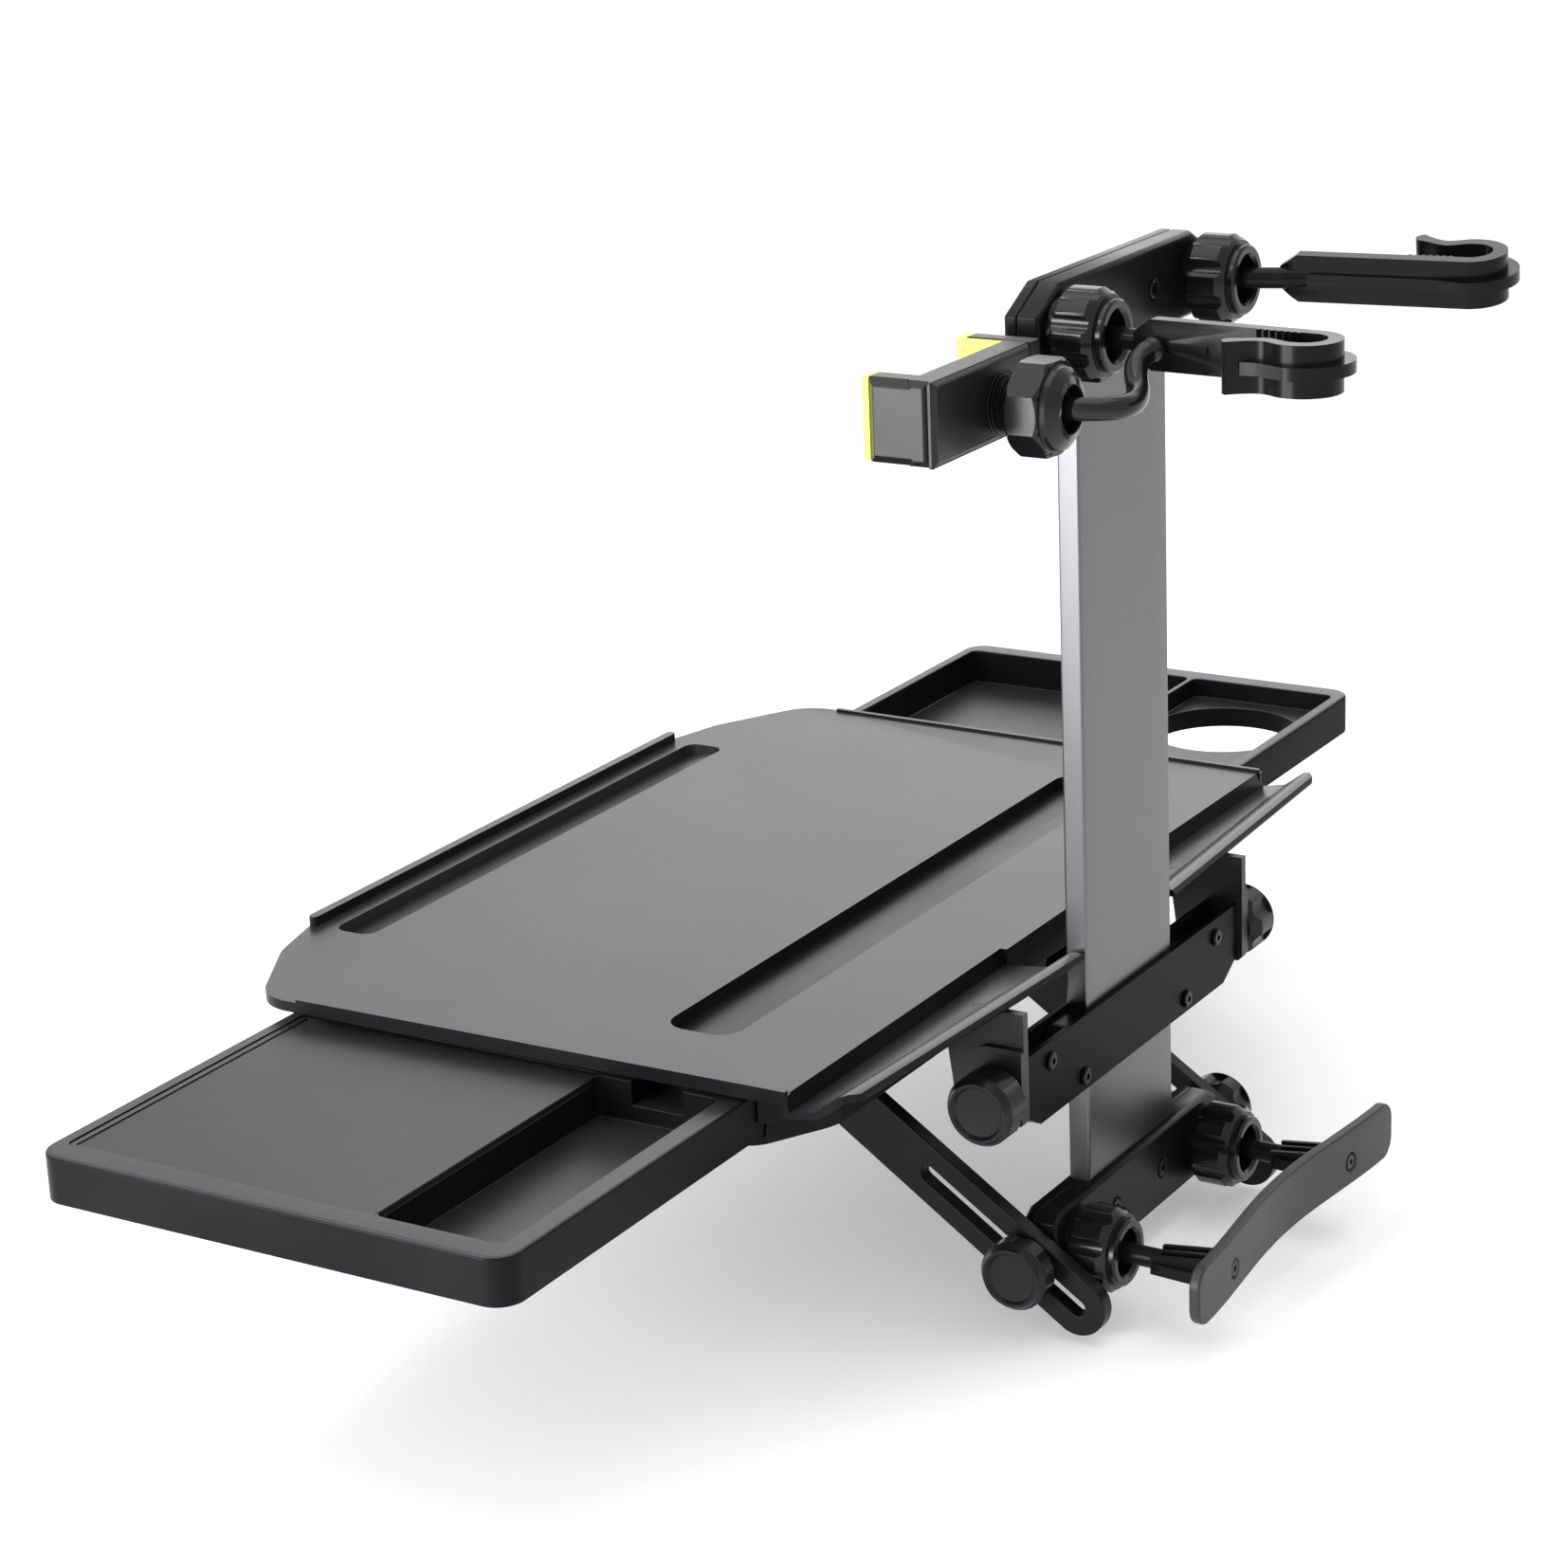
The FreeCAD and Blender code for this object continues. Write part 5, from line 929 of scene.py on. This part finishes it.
@dataclass
class Fasteners:
    """The machine screws, grown with a hexagon socket in each head."""

    shop: Workshop
    from_seat: tuple[str, ...] = ("top_bar_screws", "bottom_bar_screws", "carriage_screws", "pad_screws")
    from_below: tuple[str, ...] = ("base_screws", "ear_screws")
    covered: str = "pad_screws"

    def grow(self, node: str, axis: int, outward: int, turn: Sequence[float]) -> None:
        """Grow the screws of one CAD node.

        Args:
            node: The CAD node.
            axis: Index of the axis that the screws run along.
            outward: Direction in which their heads face.
            turn: Turn that points a screw's own +Z outward.
        """
        places = []
        length = 0.0
        for points in islands(self.shop.frame["nodes"][node]):
            low = Vector([min(point[i] for point in points) for i in range(3)])
            high = Vector([max(point[i] for point in points) for i in range(3)])
            place = (low + high) / 2
            length = high[axis] - low[axis] - HEAD_HEIGHT
            place[axis] = (high[axis] if outward > 0 else low[axis]) - outward * HEAD_HEIGHT
            places.append(place)
        finish = self.shop.finishes.capped if node == self.covered else self.shop.finishes.screw
        material = finish.material(self.shop.library)
        piece = Detail.SCREWS.grow(node + "_dressed", places, {"Shank length": length}, turn, material)
        self.shop.dress(piece, finish)
        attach(piece, self.shop.body(node))
        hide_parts(node)
        LOG.info("%s: %d screws", piece.name, len(places))

    def build(self) -> None:
        """Grow every screw."""
        for node in self.from_seat:
            self.grow(node, Y_AXIS, 1, TO_SEAT)
        for node in self.from_below:
            self.grow(node, Z_AXIS, -1, TO_FLOOR)


@dataclass
class PhoneDetails:
    """The phone holder's return spring and the dimples on its clamp nut's ring."""

    shop: Workshop
    nut_centre: tuple[float, float] = (0.125, -0.014)
    ring_radius: float = 0.0176
    ring_depth: float = 5.9 * MM
    corners: int = 8
    first_corner: float = 22.5

    def spring(self) -> None:
        """Grow the jaw's return spring."""
        low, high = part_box("jaw_spring")
        middle = (low + high) / 2
        sizes = {"Length": high.x - low.x - 2 * WIRE_RADIUS, "Wire radius": WIRE_RADIUS}
        finish = self.shop.finishes.screw
        material = finish.material(self.shop.library)
        place = Vector((low.x + WIRE_RADIUS, middle.y, middle.z))
        piece = Detail.COIL.grow("jaw_spring_dressed", [place], sizes, ALONG_JAW, material)
        self.shop.dress(piece, finish)
        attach(piece, self.shop.body("jaw_spring"))
        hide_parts("jaw_spring")

    def dimples(self) -> None:
        """Mark the corners of the clamp nut's ring."""
        _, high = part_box("phone_nut")
        depth = high.y - self.ring_depth
        places = []
        for index in range(self.corners):
            angle = math.radians(self.first_corner + 360.0 * index / self.corners)
            across, rise = self.ring_radius * math.cos(angle), self.ring_radius * math.sin(angle)
            places.append(Vector((self.nut_centre[0] + across, depth, self.nut_centre[1] + rise)))
        finish = self.shop.finishes.base
        material = finish.material(self.shop.library)
        piece = Detail.DIMPLES.grow("nut_ring_dimples", places, {}, TO_SEAT, material)
        self.shop.dress(piece, finish)
        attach(piece, self.shop.body("phone_nut"))
        LOG.info("%s: %d dimples on phone_nut", piece.name, len(places))

    def build(self) -> None:
        """Grow the holder's small details."""
        self.spring()
        self.dimples()


# Studio


@dataclass(frozen=True)
class Softbox:
    """One soft square light: where it stands, what it faces, its side in metres and its power in watts."""

    name: str
    place: Place
    aim: Place
    side: float
    power: float

    def build(self) -> None:
        """Place the light."""
        data = bpy.data.lights.new(self.name, "AREA")
        data.shape = "SQUARE"
        data.size = self.side
        data.energy = self.power
        lamp = added(self.name, data)
        lamp.location = self.place
        lamp.rotation_euler = (Vector(self.aim) - Vector(self.place)).to_track_quat("-Z", "Y").to_euler()
        lamp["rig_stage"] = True
        LOG.info("%s: %.0f W", self.name, self.power)


@dataclass(frozen=True)
class Glow:
    """A brighter patch of the surroundings: its direction, the cosine where it starts and its strength."""

    centre: Place
    start: float
    strength: float


@dataclass
class Studio:
    """Pale floor, soft lights and the camera at the photograph's angle."""

    eye: Place = (1.38221, 0.57131, 0.30716)
    azimuth: float = 121.82
    elevation: float = 18.19
    roll: float = -2.38
    lens: float = 88.75
    sensor: float = 36.0
    floor_half: float = 12.0
    floor_drop: float = 0.004
    floor_glow: float = 0.2
    ambient: float = 0.85
    glows: tuple[Glow, ...] = (Glow((-0.95, -0.25, 0.30), 0.80, 1.15), Glow((0.85, -0.50, 0.15), 0.40, 0.3))
    lights: tuple[Softbox, ...] = (
        Softbox("overhead_softbox", (0.0, -0.3, 1.9), (0.0, -0.1, -0.2), 1.8, 16.0),
        Softbox("side_softbox", (1.6, -0.8, 0.0), (0.0, 0.0, -0.1), 0.8, 32.0),
        Softbox("top_strip", (0.9, -1.0, 1.1), (0.0, 0.0, 0.0), 0.35, 6.0),
    )

    def camera(self) -> None:
        """Place the camera."""
        azimuth, elevation = math.radians(self.azimuth), math.radians(self.elevation)
        level = Vector((math.cos(azimuth), math.sin(azimuth), 0.0))
        reach = math.cos(elevation)
        back = Vector((math.sin(azimuth) * reach, -math.cos(azimuth) * reach, math.sin(elevation)))
        rise = back.cross(level)
        turn_cos, turn_sin = math.cos(math.radians(self.roll)), math.sin(math.radians(self.roll))
        right = level * turn_cos + rise * turn_sin
        upward = rise * turn_cos - level * turn_sin
        data = bpy.data.cameras.new("studio_camera")
        data.lens = self.lens
        data.sensor_width = self.sensor
        data.clip_end = 50.0
        camera = added("studio_camera", data)
        pose = Matrix((right, upward, back)).transposed().to_4x4()
        pose.translation = self.eye
        camera.matrix_world = pose
        bpy.context.scene.camera = camera

    def floor(self, lowest: float) -> None:
        """Lay the pale floor, faintly lit from below, under the object.

        Args:
            lowest: Height of the object's lowest point.
        """
        mesh = bpy.data.meshes.new("studio_floor")
        shape = bmesh.new()
        bmesh.ops.create_grid(shape, x_segments=2, y_segments=2, size=self.floor_half)
        bmesh.ops.translate(shape, verts=shape.verts[:], vec=(0.0, 0.0, lowest - self.floor_drop))
        shape.to_mesh(mesh)
        shape.free()
        floor = added("studio_floor", mesh)
        paper = bpy.data.materials.new("studio_paper")
        paper.use_nodes = True
        shader = paper.node_tree.nodes["Principled BSDF"]
        shader.inputs["Base Color"].default_value = (0.90, 0.90, 0.90, 1.0)
        shader.inputs["Roughness"].default_value = 0.9
        shader.inputs["Emission Color"].default_value = WHITE
        shader.inputs["Emission Strength"].default_value = self.floor_glow
        mesh.materials.append(paper)
        floor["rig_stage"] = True

    def world(self) -> None:
        """Pale surroundings, brightest low behind the tray, with a second, weaker glow beside it."""
        world = bpy.data.worlds.new("studio_world")
        world.use_nodes = True
        sky = world.node_tree.nodes["Background"]
        sky.inputs["Color"].default_value = WHITE
        tree = world.node_tree
        direction = tree.nodes.new("ShaderNodeTexCoord").outputs["Generated"]
        strength: object = self.ambient
        for glow in self.glows:
            facing = tree.nodes.new("ShaderNodeVectorMath")
            facing.operation = "DOT_PRODUCT"
            facing.inputs[1].default_value = Vector(glow.centre).normalized()
            tree.links.new(direction, facing.inputs[0])
            patch = tree.nodes.new("ShaderNodeMapRange")
            patch.interpolation_type = "SMOOTHSTEP"
            patch.inputs["From Min"].default_value = glow.start
            patch.inputs["To Max"].default_value = glow.strength
            tree.links.new(facing.outputs["Value"], patch.inputs["Value"])
            strength = maths(tree, "ADD", strength, patch.outputs["Result"])
        tree.links.new(strength, sky.inputs["Strength"])
        bpy.context.scene.world = world

    def build(self, lowest: float) -> None:
        """Set the whole studio up.

        Args:
            lowest: Height of the object's lowest point.
        """
        self.world()
        self.floor(lowest)
        for softbox in self.lights:
            softbox.build()
        self.camera()
        bpy.context.scene.view_settings.view_transform = "Standard"


@dataclass
class RigidPieces:
    """The pieces whose form is the CAD solid's, with the edge radius that each is moulded or cut with."""

    shop: Workshop

    def plan(self) -> Iterable[tuple[str, Finish, float]]:
        """Node, finish and edge radius in millimetres of each rigid piece."""
        kinds = self.shop.finishes
        yield "post", kinds.post, 0.35
        for part in ("top_bar_front", "top_bar_rear", "bottom_bar_front", "bottom_bar_rear"):
            yield part, kinds.bar, 0.8
        yield "carriage_channel", kinds.steel, 0.5
        yield "tray_base", kinds.base, 0.8
        yield "mouse_board", kinds.board, 0.3
        yield "seat_pad", kinds.rubber, 1.2
        pairs = (
            ("carriage_guide", kinds.bar, 0.3),
            ("ear", kinds.ear, 0.5),
            ("strut", kinds.strut, 0.7),
            ("hook", kinds.hook, 0.9),
            ("pad_arm", kinds.bar, 0.3),
            ("top_nut", kinds.nut, 0.7),
            ("bottom_nut", kinds.nut, 0.7),
            ("top_collet", kinds.bar, 0.2),
            ("bottom_collet", kinds.bar, 0.2),
            ("tilt_knob", kinds.knob, 0.5),
            ("strut_knob", kinds.knob, 0.5),
            ("jaw_liner", kinds.liner, 0.25),
            ("tilt_stud", kinds.screw, 0.2),
            ("strut_stud", kinds.screw, 0.2),
            ("strut_pin", kinds.screw, 0.2),
        )
        for side in Side:
            for part, finish, radius in pairs:
                yield f"{part}_{side.value}", finish, radius
        for part in ("phone_arm", "phone_nut"):
            yield part, kinds.nut, 0.4
        for part in ("phone_body", "phone_cover", "phone_jaw"):
            yield part, kinds.holder, 0.9
        yield "phone_collet", kinds.bar, 0.2

    def build(self) -> None:
        """Dress every rigid piece."""
        for node, finish, radius in self.plan():
            self.shop.soften(node, finish, radius)
        kinds = self.shop.finishes
        # Painted light and shade: lighter tray tops, darker sides, a darker recess floor and lighter recess
        # walls.
        self.shop.soften("tray_top", kinds.side, 0.6, kinds.panel)
        # Painted light: the drawers' upward faces get a lighter finish than their sides.
        for node, finish in (("mouse_drawer", kinds.drawer), ("cup_drawer", kinds.cup)):
            self.shop.soften(node, finish, 0.9, kinds.inside)


def main() -> None:
    """Dress the tray piece by piece and set the studio up."""
    logging.basicConfig(level=logging.INFO, format="%(message)s")
    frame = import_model()
    cad_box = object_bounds()
    shop = Workshop(frame)
    RigidPieces(shop).build()
    Fasteners(shop).build()
    PhoneDetails(shop).build()
    Studio().build(cad_box[0][2])


if __name__ == "__main__":
    main()
